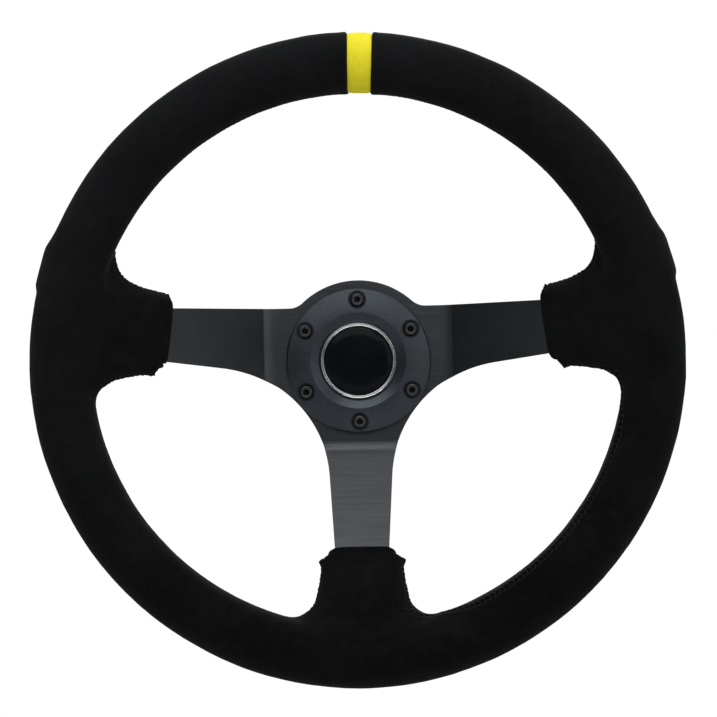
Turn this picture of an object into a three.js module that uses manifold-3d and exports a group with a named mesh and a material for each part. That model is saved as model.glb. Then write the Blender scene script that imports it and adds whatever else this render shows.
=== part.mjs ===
// Quick-release steering wheel: a 350 mm three-spoke dished wheel with a suede grip and a yellow
// centre marker, a push-type horn button, and the wheel half of a ball-lock quick-release hub.
//
// Millimetres. The steering axis is Y: the driver sits at -Y and sees +X to the right and +Z up.
// The origin is on the axis, in the plane of the quick-release hub's rear face, where the shoulder
// of the column's spigot seats. Every piece is its own named mesh.

import * as THREE from "three";
import { mergeVertices } from "three/addons/utils/BufferGeometryUtils.js";
import Module from "manifold-3d";

const wasm = await Module();
wasm.setup();
const { Manifold, Mesh: SolidMesh } = wasm;

// ---------------------------------------------------------------- driving dimensions

const RIM_DIAMETER = 350;
const GRIP_RADIUS = 16.4; // half the thickness of the wrapped rim
const DISH = 76; // rear face of the spoke plate to the rim's centre plane
const COVER_THICKNESS = 1.3;
const FIT_GAP = 0.3; // clearance between pieces that touch on the real wheel
const SEAT_GAP = 0.05; // clearance where one piece is clamped flat against another
const CORE_RADIUS = 7; // round bar inside the rim

const PLATE_THICKNESS = 4.5;
const PLATE_REAR = -38.5; // y of the plate's rear face, which seats on the quick-release flange
const DISC_RADIUS = 46.4; // the plate's round centre
const SCREW_CIRCLE = 70; // six-bolt pattern, pitch circle diameter
const SCREW_COUNT = 6;
const SCREW_CLEARANCE = 2.8; // radius of the holes that the M5 screws pass through
const TAPPED_HOLE = 2.6; // radius of the holes that they screw into
const HORN_BORE_RADIUS = 30.2;

const SIDE_SPOKE_TOP = 31; // height of the side spokes' straight upper edge above the axis
const SPOKE_END = 151; // radius that the spokes' ends are cut to, just inside the rim's bar
const BEND_START = 50; // distance of the first bend line from the axis
const BEND_END = 144; // distance of the second bend line, inside the grip
const BEND_RADIUS = 12;
const TOP_FILLET = 12; // between the disc and a side spoke's upper edge
const LOWER_SWEEP = 68; // large arc from a side spoke's lower edge to the bottom spoke

const SLEEVE_START = 103.2; // where the grip's sleeves end on the spokes
const SLEEVE_HALF_WIDTH = 22;
const SLEEVE_CORNER = 6; // the chamfer at the sleeve's open end
const SLEEVE_FILLET = 16; // in plan, where a sleeve runs out into the rim
const SLEEVE_FILLET_START = 124;
const SLEEVE_RUNS = [0, SLEEVE_CORNER, 18, 26, 32, 36, 49]; // the sections of a sleeve, from its end
const SLEEVE_END_DEPTH = 6; // half the sleeve's depth along Y at its end
const SLEEVE_RIM_DEPTH = GRIP_RADIUS - 2; // and where it meets the rim
const SLEEVE_DEPTH_RUN = 40; // the distance over which the one grows into the other
const WIDTH_POWER = 0.6; // of the sleeve's superelliptic section, across it
const DEPTH_POWER = 0.75; // and along Y

const MARKER_WIDTH = 12;
const MARKER_ANGLE = 88.3; // degrees from +X, so 1.7 degrees clockwise of top dead centre

const RING_FRONT = -49.5; // y of the horn retaining ring's front face
const RING_RADIUS = 41.4;
const HORN_TRAVEL = 2; // millimetres of push

const HUB_FLANGE_RADIUS = 42;
const HUB_FLANGE_THICKNESS = 7;
const BARREL_RADIUS = 28.6;
const SOCKET_RADIUS = 22.7;
const SOCKET_FLOOR = -24;
const RIB_COUNT = 12;
const BALL_RADIUS = 4;
const BALL_COUNT = 6;
const BALL_SEAT = 25.1; // distance of a locked ball's centre from the axis
const BALL_PLANE = -11;
const COLLAR_TRAVEL = 6;
const BALL_TRAVEL = 1.6; // outward, over the collar's travel

// Sides of the round shapes.
const RIM_SEGMENTS = 40; // round the whole rim
const GRIP_SIDES = 10; // round the grip's section
const CORE_SIDES = 8; // round the section of the bar in the rim
const HUB_SEGMENTS = 30;
const INNER_SEGMENTS = 20;
const SCREW_SIDES = 12;
const BALL_HOLE_SIDES = 10;
const BEND_STEPS = 4; // straight lengths in each bend of the plate

// ---------------------------------------------------------------- what follows from them

const RIM_RADIUS = RIM_DIAMETER / 2 - GRIP_RADIUS;
const RIM_PLANE = PLATE_REAR - DISH;
const PLATE_FRONT = PLATE_REAR - PLATE_THICKNESS;
const PLATE_MIDDLE = PLATE_REAR - PLATE_THICKNESS / 2;
const PADDING_INSET = COVER_THICKNESS + FIT_GAP;
const FLANGE_REAR = PLATE_REAR + HUB_FLANGE_THICKNESS;
const BALL_RAMP = BALL_TRAVEL / COLLAR_TRAVEL; // slope of the collar's inner cone

// ---------------------------------------------------------------- materials

function finish(color, roughness, metalness) {
  return new THREE.MeshStandardMaterial({ color, roughness, metalness });
}
const anodised = finish(0x34373b, 0.42, 0.85);
const suede = finish(0x17181a, 0.95, 0);
const yellowSuede = finish(0xd9cf2a, 0.9, 0);
const blackSteel = finish(0x2b2b2d, 0.35, 0.9);
const chrome = finish(0xd8d8d8, 0.08, 1);
const glossBlack = finish(0x060607, 0.06, 0);
const mattBlack = finish(0x1b1b1c, 0.6, 0);
const brass = finish(0xb08d46, 0.3, 1);
const steel = finish(0x9a9da0, 0.25, 1);
const foam = finish(0x3a3a3c, 0.9, 0);
const aluminium = finish(0xa7a9ac, 0.45, 0.9);

// ---------------------------------------------------------------- solids and meshes

// A closed three.js geometry as a manifold-3d solid with its faces pointing out.
function solidOf(geometry) {
  const bare = geometry.index ? geometry.toNonIndexed() : geometry.clone();
  bare.deleteAttribute("normal");
  bare.deleteAttribute("uv");
  const merged = mergeVertices(bare, 1e-4);
  const corners = [];
  for (let i = 0; i < merged.index.count; i += 3) {
    const [a, b, c] = [0, 1, 2].map((k) => merged.index.getX(i + k));
    if (a !== b && b !== c && a !== c) corners.push([a, b, c]);
  }
  const build = (triangles) =>
    new Manifold(
      new SolidMesh({
        numProp: 3,
        vertProperties: new Float32Array(merged.attributes.position.array),
        triVerts: new Uint32Array(triangles.flat()),
      }),
    );
  const made = build(corners);
  return made.volume() < 0 ? build(corners.map(([a, b, c]) => [a, c, b])) : made;
}

function geometryOf(solid) {
  const { numProp, numVert, vertProperties, triVerts } = solid.getMesh();
  const positions = new Float32Array(numVert * 3);
  for (let i = 0; i < numVert; i++) {
    positions.set(vertProperties.subarray(i * numProp, i * numProp + 3), i * 3);
  }
  const geometry = new THREE.BufferGeometry();
  geometry.setAttribute("position", new THREE.BufferAttribute(positions, 3));
  geometry.setIndex(new THREE.BufferAttribute(new Uint32Array(triVerts), 1));
  geometry.computeVertexNormals();
  return geometry;
}

const wheel = new THREE.Group();

function piece(name, solid, material, parent = wheel) {
  const mesh = new THREE.Mesh(geometryOf(solid), material);
  mesh.name = name;
  parent.add(mesh);
  return mesh;
}

// A solid turned about the steering axis from [radius, y] corners, in order round the section.
function turned(corners, segments = HUB_SEGMENTS) {
  const touchesAxis = corners.some(([radius]) => radius === 0);
  const loop = touchesAxis ? corners : [...corners, corners[0]];
  const section = loop.map(([radius, y]) => new THREE.Vector2(radius, y));
  return solidOf(new THREE.LatheGeometry(section, segments));
}

function box(width, depth, height, x, y, z) {
  return solidOf(new THREE.BoxGeometry(width, depth, height).translate(x, y, z));
}

// A cylinder along Y between two planes.
function peg(radius, yFrom, yTo, x = 0, z = 0, sides = SCREW_SIDES) {
  const geometry = new THREE.CylinderGeometry(radius, radius, yTo - yFrom, sides);
  return solidOf(geometry.translate(x, (yFrom + yTo) / 2, z));
}

const joined = (solids) => solids.reduce((sum, solid) => sum.add(solid));
const radians = THREE.MathUtils.degToRad;

// Angles of count places round the axis, from +X towards +Z.
function placesRound(count, first) {
  return Array.from({ length: count }, (_, k) => radians(first + (k * 360) / count));
}
const screwAngles = placesRound(SCREW_COUNT, 90);
const ballAngles = placesRound(BALL_COUNT, 0);

// One hole for each screw on the screw circle.
const screwHoles = (radius, yFrom, yTo) =>
  joined(
    screwAngles.map((a) =>
      peg(radius, yFrom, yTo, (Math.cos(a) * SCREW_CIRCLE) / 2, (Math.sin(a) * SCREW_CIRCLE) / 2),
    ),
  );

// A helical coil spring round the steering axis.
class Helix extends THREE.Curve {
  constructor(radius, yFrom, yTo, turns) {
    super();
    Object.assign(this, { radius, yFrom, yTo, turns });
  }
  getPoint(t, target = new THREE.Vector3()) {
    const a = t * this.turns * 2 * Math.PI;
    const y = this.yFrom + (this.yTo - this.yFrom) * t;
    return target.set(this.radius * Math.cos(a), y, this.radius * Math.sin(a));
  }
}

function coilSpring(coilRadius, wireRadius, yFrom, yTo, turns, stepsPerTurn) {
  const section = new THREE.Shape().absarc(0, 0, wireRadius, 0, 2 * Math.PI, false);
  const path = new Helix(coilRadius, yFrom + wireRadius, yTo - wireRadius, turns);
  const options = { extrudePath: path, steps: Math.round(turns * stepsPerTurn), curveSegments: 3 };
  return solidOf(new THREE.ExtrudeGeometry(section, options));
}

// ---------------------------------------------------------------- the spoke plate

// Lines in the plate's plan, as a point, a unit direction and the unit normal away from the metal.
function line(x1, z1, x2, z2) {
  const direction = new THREE.Vector2(x2 - x1, z2 - z1).normalize();
  return { point: new THREE.Vector2(x1, z1), direction, out: new THREE.Vector2(direction.y, -direction.x) };
}
const shifted = (l, by) => ({ ...l, point: l.point.clone().addScaledVector(l.out, by) });
const footOn = (l, p) =>
  l.point.clone().addScaledVector(l.direction, p.clone().sub(l.point).dot(l.direction));
function crossing(a, b) {
  const t = b.point.clone().sub(a.point).cross(b.direction) / a.direction.cross(b.direction);
  return a.point.clone().addScaledVector(a.direction, t);
}

// The angle from +X at which a line leaves a circle round the axis, on the side away from the disc.
function angleOnCircle(l, radius) {
  const middle = footOn(l, new THREE.Vector2());
  const half = Math.sqrt(radius ** 2 - middle.lengthSq());
  const outwards = l.point.dot(l.direction) < 0 ? -half : half;
  const p = middle.addScaledVector(l.direction, outwards);
  return Math.atan2(p.y, p.x);
}

// The right side spoke's lower edge rises outwards, and the bottom spoke narrows downwards.
const sideLowerEdge = line(66, -4.2, 105, 1.35);
const bottomRightEdge = line(15, -104, 18.5, -57);
const sweepCentre = crossing(shifted(sideLowerEdge, LOWER_SWEEP), shifted(bottomRightEdge, LOWER_SWEEP));
const sideLowerAt = (x) => crossing(sideLowerEdge, line(x, 0, x, 1)).y;
const sideMiddleAt = (x) => (SIDE_SPOKE_TOP + sideLowerAt(x)) / 2;

// The plate's outline in plan, made larger all round by grow.
function plateOutline(grow) {
  const top = SIDE_SPOKE_TOP + grow;
  const filletCentreZ = SIDE_SPOKE_TOP + TOP_FILLET;
  const filletCentreX = Math.sqrt((DISC_RADIUS + TOP_FILLET) ** 2 - filletCentreZ ** 2);
  const fillet = TOP_FILLET - grow;
  const meeting = Math.atan2(filletCentreZ, filletCentreX);
  const sweep = LOWER_SWEEP - grow;
  const lower = shifted(sideLowerEdge, grow);
  const right = shifted(bottomRightEdge, grow);
  const onLower = footOn(lower, sweepCentre);
  const onRight = footOn(right, sweepCentre);
  const end = SPOKE_END + grow;
  const topAngle = Math.asin(top / end);
  const lowerAngle = angleOnCircle(lower, end);
  const rightAngle = angleOnCircle(right, end);
  const toLower = Math.atan2(onLower.y - sweepCentre.y, onLower.x - sweepCentre.x);
  const toRight = Math.atan2(onRight.y - sweepCentre.y, onRight.x - sweepCentre.x);
  const shape = new THREE.Shape();
  shape.absarc(0, 0, end, lowerAngle, topAngle, false);
  shape.absarc(filletCentreX, filletCentreZ, fillet, -Math.PI / 2, meeting - Math.PI, true);
  shape.absarc(0, 0, DISC_RADIUS + grow, meeting, Math.PI - meeting, false);
  shape.absarc(-filletCentreX, filletCentreZ, fillet, -meeting, -Math.PI / 2, true);
  shape.absarc(0, 0, end, Math.PI - topAngle, Math.PI - lowerAngle, false);
  shape.absarc(-sweepCentre.x, sweepCentre.y, sweep, Math.PI - toLower, Math.PI - toRight, true);
  shape.absarc(0, 0, end, Math.PI - rightAngle, rightAngle, false);
  shape.absarc(sweepCentre.x, sweepCentre.y, sweep, toRight, toLower, true);
  shape.closePath();
  return shape;
}

// The dish seen edge on: [distance from the axis, y] along the middle of the sheet, bends rounded.
const dishAngle = Math.atan2(PLATE_MIDDLE - RIM_PLANE, BEND_END - BEND_START);
function dishLine(reach) {
  const setback = BEND_RADIUS * Math.tan(dishAngle / 2);
  const points = [[0, PLATE_MIDDLE]];
  for (let k = 0; k <= BEND_STEPS; k++) {
    const a = (dishAngle * k) / BEND_STEPS;
    const s = BEND_START - setback + BEND_RADIUS * Math.sin(a);
    points.push([s, PLATE_MIDDLE - BEND_RADIUS * (1 - Math.cos(a))]);
  }
  for (let k = BEND_STEPS; k >= 0; k--) {
    const a = (dishAngle * k) / BEND_STEPS;
    const s = BEND_END + setback - BEND_RADIUS * Math.sin(a);
    points.push([s, RIM_PLANE + BEND_RADIUS * (1 - Math.cos(a))]);
  }
  points.push([reach, RIM_PLANE]);
  return points;
}

// y of the sheet's middle at a distance from the axis.
function dishAt(s) {
  const points = dishLine(RIM_DIAMETER / 2);
  const k = Math.max(1, points.findIndex(([at]) => at >= s));
  const [[s0, y0], [s1, y1]] = [points[k - 1], points[k]];
  return y0 + ((y1 - y0) * (s - s0)) / (s1 - s0);
}

// The bent sheet is larger than the outline that is cut from it. The strip for the side spokes runs
// from STRIP_BOTTOM to STRIP_TOP, and the strip for the bottom spoke from TONGUE_BOTTOM to TONGUE_TOP.
const OVERRUN = 12; // past the spokes' ends
const STRIP_TOP = 60;
const STRIP_BOTTOM = -45;
const TONGUE_TOP = -30;
const TONGUE_BOTTOM = -170;
const TONGUE_WIDTH = 90;
const DISH_DEPTH = 120; // more than the whole dish along Y
const DISH_REAR = -20; // y of a plane behind it

// The dish's section as a closed shape, half a thickness to each side of its middle line.
function dishSection(halfThickness, bothSides) {
  const half = dishLine(SPOKE_END + OVERRUN);
  const middle = bothSides ? [...half.slice(1).reverse().map(([s, y]) => [-s, y]), ...half] : half;
  const normals = middle.map((_, k) => {
    const [s0, y0] = middle[Math.max(0, k - 1)];
    const [s1, y1] = middle[Math.min(middle.length - 1, k + 1)];
    const length = Math.hypot(s1 - s0, y1 - y0);
    return [-(y1 - y0) / length, (s1 - s0) / length];
  });
  const side = (sign) =>
    middle.map(([s, y], k) => {
      const move = sign * halfThickness;
      return new THREE.Vector2(s + move * normals[k][0], y + move * normals[k][1]);
    });
  return new THREE.Shape([...side(-1), ...side(1).reverse()]);
}

function dishedSheet(halfThickness) {
  const across = new THREE.ExtrudeGeometry(dishSection(halfThickness, true), {
    depth: STRIP_TOP - STRIP_BOTTOM,
    bevelEnabled: false,
  });
  const down = new THREE.ExtrudeGeometry(dishSection(halfThickness, false), {
    depth: TONGUE_WIDTH,
    bevelEnabled: false,
  });
  const strip = solidOf(across.translate(0, 0, STRIP_BOTTOM));
  const belowAxis = solidOf(down.translate(0, 0, -TONGUE_WIDTH / 2).rotateY(Math.PI / 2));
  const height = TONGUE_TOP - TONGUE_BOTTOM;
  const [y, z] = [DISH_REAR - DISH_DEPTH / 2, TONGUE_TOP - height / 2];
  const keep = box(TONGUE_WIDTH + 1, DISH_DEPTH, height, 0, y, z);
  return strip.add(belowAxis.intersect(keep));
}

function bentPlate(grow) {
  const options = { depth: DISH_DEPTH, bevelEnabled: false, curveSegments: 6 };
  const prism = new THREE.ExtrudeGeometry(plateOutline(grow), options).rotateX(Math.PI / 2);
  return solidOf(prism.translate(0, DISH_REAR, 0)).intersect(dishedSheet(PLATE_THICKNESS / 2 + grow));
}

const plate = bentPlate(0)
  .subtract(peg(HORN_BORE_RADIUS, PLATE_FRONT - 1, PLATE_REAR + 1, 0, 0, HUB_SEGMENTS))
  .subtract(screwHoles(SCREW_CLEARANCE, PLATE_FRONT - 1, PLATE_REAR + 1));
piece("spoke_plate", plate, anodised);

// ---------------------------------------------------------------- the rim, from the bar outwards

// A ring round the rim's centre line, with a round section.
function rimRing(radius, sides) {
  const corners = placesRound(sides, 0).map((a) => [
    RIM_RADIUS + radius * Math.cos(a),
    RIM_PLANE + radius * Math.sin(a),
  ]);
  return turned(corners, RIM_SEGMENTS);
}

// Half the width of a sleeve in plan: a chamfered end, straight sides, and a fillet into the rim.
function sleeveHalfWidth(s) {
  const chamfer = Math.max(0, SLEEVE_START + SLEEVE_CORNER - s);
  const into = Math.max(0, Math.min(SLEEVE_FILLET, s - SLEEVE_FILLET_START));
  return SLEEVE_HALF_WIDTH - chamfer + SLEEVE_FILLET - Math.sqrt(SLEEVE_FILLET ** 2 - into ** 2);
}

// Half the depth of a sleeve along Y, from the wrapped end of the spoke up to the rim.
function sleeveHalfDepth(s) {
  const share = Math.min(1, (s - SLEEVE_START) / SLEEVE_DEPTH_RUN);
  return SLEEVE_END_DEPTH + (SLEEVE_RIM_DEPTH - SLEEVE_END_DEPTH) * Math.sqrt(share);
}

const bulged = (value, power) => Math.sign(value) * Math.abs(value) ** power;

// A sleeve lofted along a spoke; place maps (distance out, across, y) to a corner in space.
function sleeve(inset, place) {
  const rings = SLEEVE_RUNS.map((run, k) => {
    const s = SLEEVE_START + run + (k === 0 ? inset : 0);
    const halfWidth = sleeveHalfWidth(s) - inset;
    const halfDepth = sleeveHalfDepth(s) - inset;
    return placesRound(GRIP_SIDES, 180 / GRIP_SIDES).map((a) => {
      const across = halfWidth * bulged(Math.cos(a), WIDTH_POWER);
      const rise = halfDepth * bulged(Math.sin(a), DEPTH_POWER);
      return place(s, across, dishAt(s) + rise);
    });
  });
  const positions = [];
  const triangle = (a, b, c) => positions.push(...a, ...b, ...c);
  rings.slice(1).forEach((ring, k) => {
    ring.forEach((corner, i) => {
      const next = (i + 1) % ring.length;
      triangle(rings[k][i], rings[k][next], corner);
      triangle(rings[k][next], ring[next], corner);
    });
  });
  const [first, last] = [rings[0], rings.at(-1)];
  for (let i = 1; i < first.length - 1; i++) {
    triangle(first[0], first[i + 1], first[i]);
    triangle(last[0], last[i], last[i + 1]);
  }
  const geometry = new THREE.BufferGeometry();
  geometry.setAttribute("position", new THREE.BufferAttribute(new Float32Array(positions), 3));
  return solidOf(geometry);
}

function gripShape(inset) {
  return joined([
    rimRing(GRIP_RADIUS - inset, GRIP_SIDES),
    sleeve(inset, (s, across, y) => [s, y, sideMiddleAt(s) + across]),
    sleeve(inset, (s, across, y) => [-s, y, sideMiddleAt(s) + across]),
    sleeve(inset, (s, across, y) => [across, y, -s]),
  ]);
}

// A bar across the rim at the centre marker, from the axis outwards.
function markerBar(width) {
  const bar = new THREE.BoxGeometry(width, 4 * GRIP_RADIUS, RIM_DIAMETER / 2);
  bar.translate(0, RIM_PLANE, RIM_DIAMETER / 2);
  return solidOf(bar.rotateY(radians(90 - MARKER_ANGLE)));
}

const plateRoom = bentPlate(FIT_GAP);
const inCover = gripShape(COVER_THICKNESS);

piece("rim_core", rimRing(CORE_RADIUS, CORE_SIDES), aluminium);
piece(
  "rim_padding",
  gripShape(PADDING_INSET).subtract(rimRing(CORE_RADIUS + FIT_GAP, CORE_SIDES)).subtract(plateRoom),
  foam,
);
piece(
  "suede_cover",
  gripShape(0).subtract(inCover).subtract(plateRoom).subtract(markerBar(MARKER_WIDTH + 2 * FIT_GAP)),
  suede,
);
const MARKER_SINK = 0.15; // the marker lies this much below the suede beside it
piece(
  "center_marker",
  rimRing(GRIP_RADIUS - MARKER_SINK, GRIP_SIDES)
    .subtract(rimRing(GRIP_RADIUS - COVER_THICKNESS, GRIP_SIDES))
    .intersect(markerBar(MARKER_WIDTH)),
  yellowSuede,
);

// ---------------------------------------------------------------- the horn retaining ring and screws

const RING_REAR = PLATE_FRONT - SEAT_GAP;
const RING_LAND = RING_REAR - 1.35; // where the ring's inner lip holds the horn button down
const COUNTERBORE_FLOOR = RING_FRONT + 2.4;
const COUNTERBORE_RADIUS = 5.3;

const ring = turned([
  [22.3, RING_LAND],
  [22.3, RING_FRONT + 4],
  [26.7, RING_FRONT],
  [RING_RADIUS - 1, RING_FRONT],
  [RING_RADIUS, RING_FRONT + 1],
  [RING_RADIUS, RING_REAR],
  [29.7, RING_REAR],
  [29.7, RING_LAND],
]);
piece(
  "horn_retaining_ring",
  ring
    .subtract(screwHoles(COUNTERBORE_RADIUS, RING_FRONT - 1, COUNTERBORE_FLOOR))
    .subtract(screwHoles(SCREW_CLEARANCE, COUNTERBORE_FLOOR - 1, RING_REAR + 1)),
  anodised,
);

// An M5 button-head screw with a 3 mm hex socket, its head's underside at y = 0 and its tip at +Y.
const hexSocket = peg(1.73, -3, -0.7, 0, 0, 6);
const buttonScrew = turned(
  [
    [0, -2.25],
    [2.6, -2.1],
    [4.2, -1.1],
    [4.75, 0],
    [2.4, 0],
    [2.4, 15.5],
    [0, 15.5],
  ],
  SCREW_SIDES,
).subtract(hexSocket);

screwAngles.forEach((a, k) => {
  const screw = piece(`hub_screw_${k + 1}`, buttonScrew, blackSteel);
  const [x, z] = [(Math.cos(a) * SCREW_CIRCLE) / 2, (Math.sin(a) * SCREW_CIRCLE) / 2];
  screw.position.set(x, COUNTERBORE_FLOOR - SEAT_GAP, z);
});

// ---------------------------------------------------------------- the horn button

const HOUSING_REAR = PLATE_REAR + 4.6;
const HOUSING_FLOOR = HOUSING_REAR - 2.1;
const CARRIER_TOP = RING_LAND - 0.3;

piece(
  "horn_housing",
  turned(
    [
      [2.3, HOUSING_FLOOR],
      [25.3, HOUSING_FLOOR],
      [25.3, RING_LAND + 0.1],
      [29.3, RING_LAND + 0.1],
      [29.3, PLATE_FRONT + 0.1],
      [28.4, PLATE_FRONT + 0.1],
      [28.4, HOUSING_REAR],
      [2.3, HOUSING_REAR],
    ],
    INNER_SEGMENTS,
  ),
  mattBlack,
);
piece(
  "horn_carrier",
  turned(
    [
      [0, CARRIER_TOP],
      [21.7, CARRIER_TOP],
      [21.7, CARRIER_TOP + 0.6],
      [24.6, CARRIER_TOP + 0.6],
      [24.6, CARRIER_TOP + 1.8],
      [15, CARRIER_TOP + 1.8],
      [15, CARRIER_TOP + 2.7],
      [0, CARRIER_TOP + 2.7],
    ],
    INNER_SEGMENTS,
  ),
  mattBlack,
);
piece(
  "horn_bezel",
  turned([
    [19.7, CARRIER_TOP - SEAT_GAP],
    [19.7, CARRIER_TOP - 3.2],
    [20.3, CARRIER_TOP - 3.8],
    [21.3, CARRIER_TOP - 3.8],
    [21.9, CARRIER_TOP - 3.2],
    [21.9, CARRIER_TOP - SEAT_GAP],
  ]),
  chrome,
);
piece(
  "horn_cap",
  turned([
    [0, CARRIER_TOP - SEAT_GAP],
    [19.4, CARRIER_TOP - SEAT_GAP],
    [19.4, CARRIER_TOP - 2.6],
    [17.5, CARRIER_TOP - 3.5],
    [12, CARRIER_TOP - 4.5],
    [6, CARRIER_TOP - 5.1],
    [0, CARRIER_TOP - 5.3],
  ]),
  glossBlack,
);
const movingContactRear = CARRIER_TOP + 3.4;
piece("horn_moving_contact", peg(9, CARRIER_TOP + 2.75, movingContactRear), brass);
piece("horn_spring", coilSpring(18, 0.55, CARRIER_TOP + 1.9, HOUSING_FLOOR - SEAT_GAP, 3, 12), steel);
piece(
  "horn_fixed_contact",
  turned(
    [
      [0, movingContactRear + HORN_TRAVEL + 0.3],
      [5, movingContactRear + HORN_TRAVEL + 0.3],
      [5, HOUSING_FLOOR - SEAT_GAP],
      [1.9, HOUSING_FLOOR - SEAT_GAP],
      [1.9, HOUSING_REAR],
      [0, HOUSING_REAR],
    ],
    SCREW_SIDES,
  ),
  brass,
);
const TAB_LENGTH = 5;
const TAB_WIDTH = 6.3;
const TAB_THICKNESS = 0.8;
const TAB_PITCH = 6; // between the two tabs
const tabAt = (z) => box(TAB_WIDTH, TAB_LENGTH, TAB_THICKNESS, 0, HOUSING_REAR + FIT_GAP + TAB_LENGTH / 2, z);
piece("horn_terminal_live", tabAt(0), brass);
piece("horn_terminal_ground", tabAt(TAB_PITCH), brass);

// ---------------------------------------------------------------- the quick-release hub

const CIRCLIP_FRONT = -2.85;
const CIRCLIP_REAR = -1.75;

const hubTurning = turned([
  [12, SOCKET_FLOOR],
  [SOCKET_RADIUS, SOCKET_FLOOR],
  [SOCKET_RADIUS, -1],
  [SOCKET_RADIUS + 1, 0],
  [BARREL_RADIUS - 0.8, 0],
  [BARREL_RADIUS, -0.8],
  [BARREL_RADIUS, CIRCLIP_REAR + 0.15],
  [BARREL_RADIUS - 1.4, CIRCLIP_REAR + 0.15],
  [BARREL_RADIUS - 1.4, CIRCLIP_FRONT - 0.15],
  [BARREL_RADIUS, CIRCLIP_FRONT - 0.15],
  [BARREL_RADIUS, FLANGE_REAR],
  [HUB_FLANGE_RADIUS, FLANGE_REAR],
  [HUB_FLANGE_RADIUS, PLATE_REAR + SEAT_GAP],
  [HORN_BORE_RADIUS, PLATE_REAR + SEAT_GAP],
  [HORN_BORE_RADIUS, HOUSING_REAR + FIT_GAP],
  [12, HOUSING_REAR + FIT_GAP],
]);
const BALL_HOLE_RADIUS = BALL_RADIUS + 0.4;
const ballHoles = joined(
  ballAngles.map((a) => {
    const bore = new THREE.CylinderGeometry(BALL_HOLE_RADIUS, BALL_HOLE_RADIUS, 12, BALL_HOLE_SIDES);
    return solidOf(
      bore
        .rotateZ(Math.PI / 2)
        .translate(BALL_SEAT, 0, 0)
        .rotateY(-a)
        .translate(0, BALL_PLANE, 0),
    );
  }),
);
// Drive ribs at the bottom of the socket, which the column spigot's grooves slide over.
const ribs = joined(
  placesRound(RIB_COUNT, 180 / RIB_COUNT).map((a) => {
    const rib = new THREE.BoxGeometry(3, 8, 3.2).translate(SOCKET_RADIUS + 0.1, 0, 0);
    return solidOf(rib.rotateY(-a).translate(0, SOCKET_FLOOR + 3.8, 0));
  }),
);
piece(
  "quick_release_hub",
  hubTurning.subtract(ballHoles).add(ribs).subtract(screwHoles(TAPPED_HOLE, PLATE_REAR - 1, FLANGE_REAR + 1)),
  anodised,
);

const ballGeometry = solidOf(new THREE.SphereGeometry(BALL_RADIUS, 10, 6));
ballAngles.forEach((a, k) => {
  const ball = piece(`lock_ball_${k + 1}`, ballGeometry, steel);
  ball.position.set(BALL_SEAT * Math.cos(a), BALL_PLANE, BALL_SEAT * Math.sin(a));
});

// The collar's inner cone holds the balls in; drawn towards the driver, it lets them move out.
const COLLAR_REAR = -3.1;
const COLLAR_FRONT = -24.5;
const COLLAR_LAND = BARREL_RADIUS + FIT_GAP;
const CONE_FRONT = -13.1;
const SPRING_SEAT = -16.4;
piece(
  "release_collar",
  turned([
    [33.4, COLLAR_FRONT],
    [35.5, COLLAR_FRONT],
    [36, COLLAR_FRONT + 0.5],
    [36, -9.5],
    [39, -8],
    [39.5, -7.2],
    [39.5, COLLAR_REAR - 0.9],
    [38.6, COLLAR_REAR],
    [COLLAR_LAND + (COLLAR_REAR - CONE_FRONT) * BALL_RAMP, COLLAR_REAR],
    [COLLAR_LAND, CONE_FRONT],
    [COLLAR_LAND, SPRING_SEAT],
    [33.4, SPRING_SEAT],
  ]),
  anodised,
);
piece("collar_spring", coilSpring(31.2, 0.8, FLANGE_REAR + SEAT_GAP, SPRING_SEAT - SEAT_GAP, 3.5, 14), steel);
piece(
  "collar_circlip",
  turned([
    [BARREL_RADIUS - 1, CIRCLIP_FRONT],
    [33.2, CIRCLIP_FRONT],
    [33.2, CIRCLIP_REAR],
    [BARREL_RADIUS - 1, CIRCLIP_REAR],
  ]).subtract(box(8, 10, 20, 0, CIRCLIP_REAR, -30)),
  blackSteel,
);

// ---------------------------------------------------------------- the horn's contacts through the hub

piece(
  "contact_insulator",
  turned(
    [
      [2.8, SOCKET_FLOOR - 3.9],
      [11.7, SOCKET_FLOOR - 3.9],
      [11.7, SOCKET_FLOOR],
      [9.9, SOCKET_FLOOR],
      [9.9, SOCKET_FLOOR - 1],
      [7.1, SOCKET_FLOOR - 1],
      [7.1, SOCKET_FLOOR],
      [2.8, SOCKET_FLOOR],
    ],
    INNER_SEGMENTS,
  ),
  mattBlack,
);
piece(
  "contact_ring",
  turned(
    [
      [7.4, SOCKET_FLOOR - 0.95],
      [9.6, SOCKET_FLOOR - 0.95],
      [9.6, SOCKET_FLOOR + 0.7],
      [7.4, SOCKET_FLOOR + 0.7],
    ],
    INNER_SEGMENTS,
  ),
  brass,
);
piece("contact_stud", peg(2.5, SOCKET_FLOOR - 3.9, SOCKET_FLOOR + 1), brass);

export default wheel;
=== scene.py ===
"""The looks of the quick-release steering wheel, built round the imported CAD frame.

Metres. The steering axis is Y, the driver is at -Y, +X is the driver's right and +Z is up.
Hard pieces are turned, pierced or lofted from their profiles. The suede is one surface drawn
round a distance function of the wrapped rim and its three sleeves.
"""

import math

import bmesh
import bpy
import numpy as np
from mathutils import Matrix, Vector, noise
from mathutils.geometry import delaunay_2d_cdt
from mathutils.kdtree import KDTree


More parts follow.
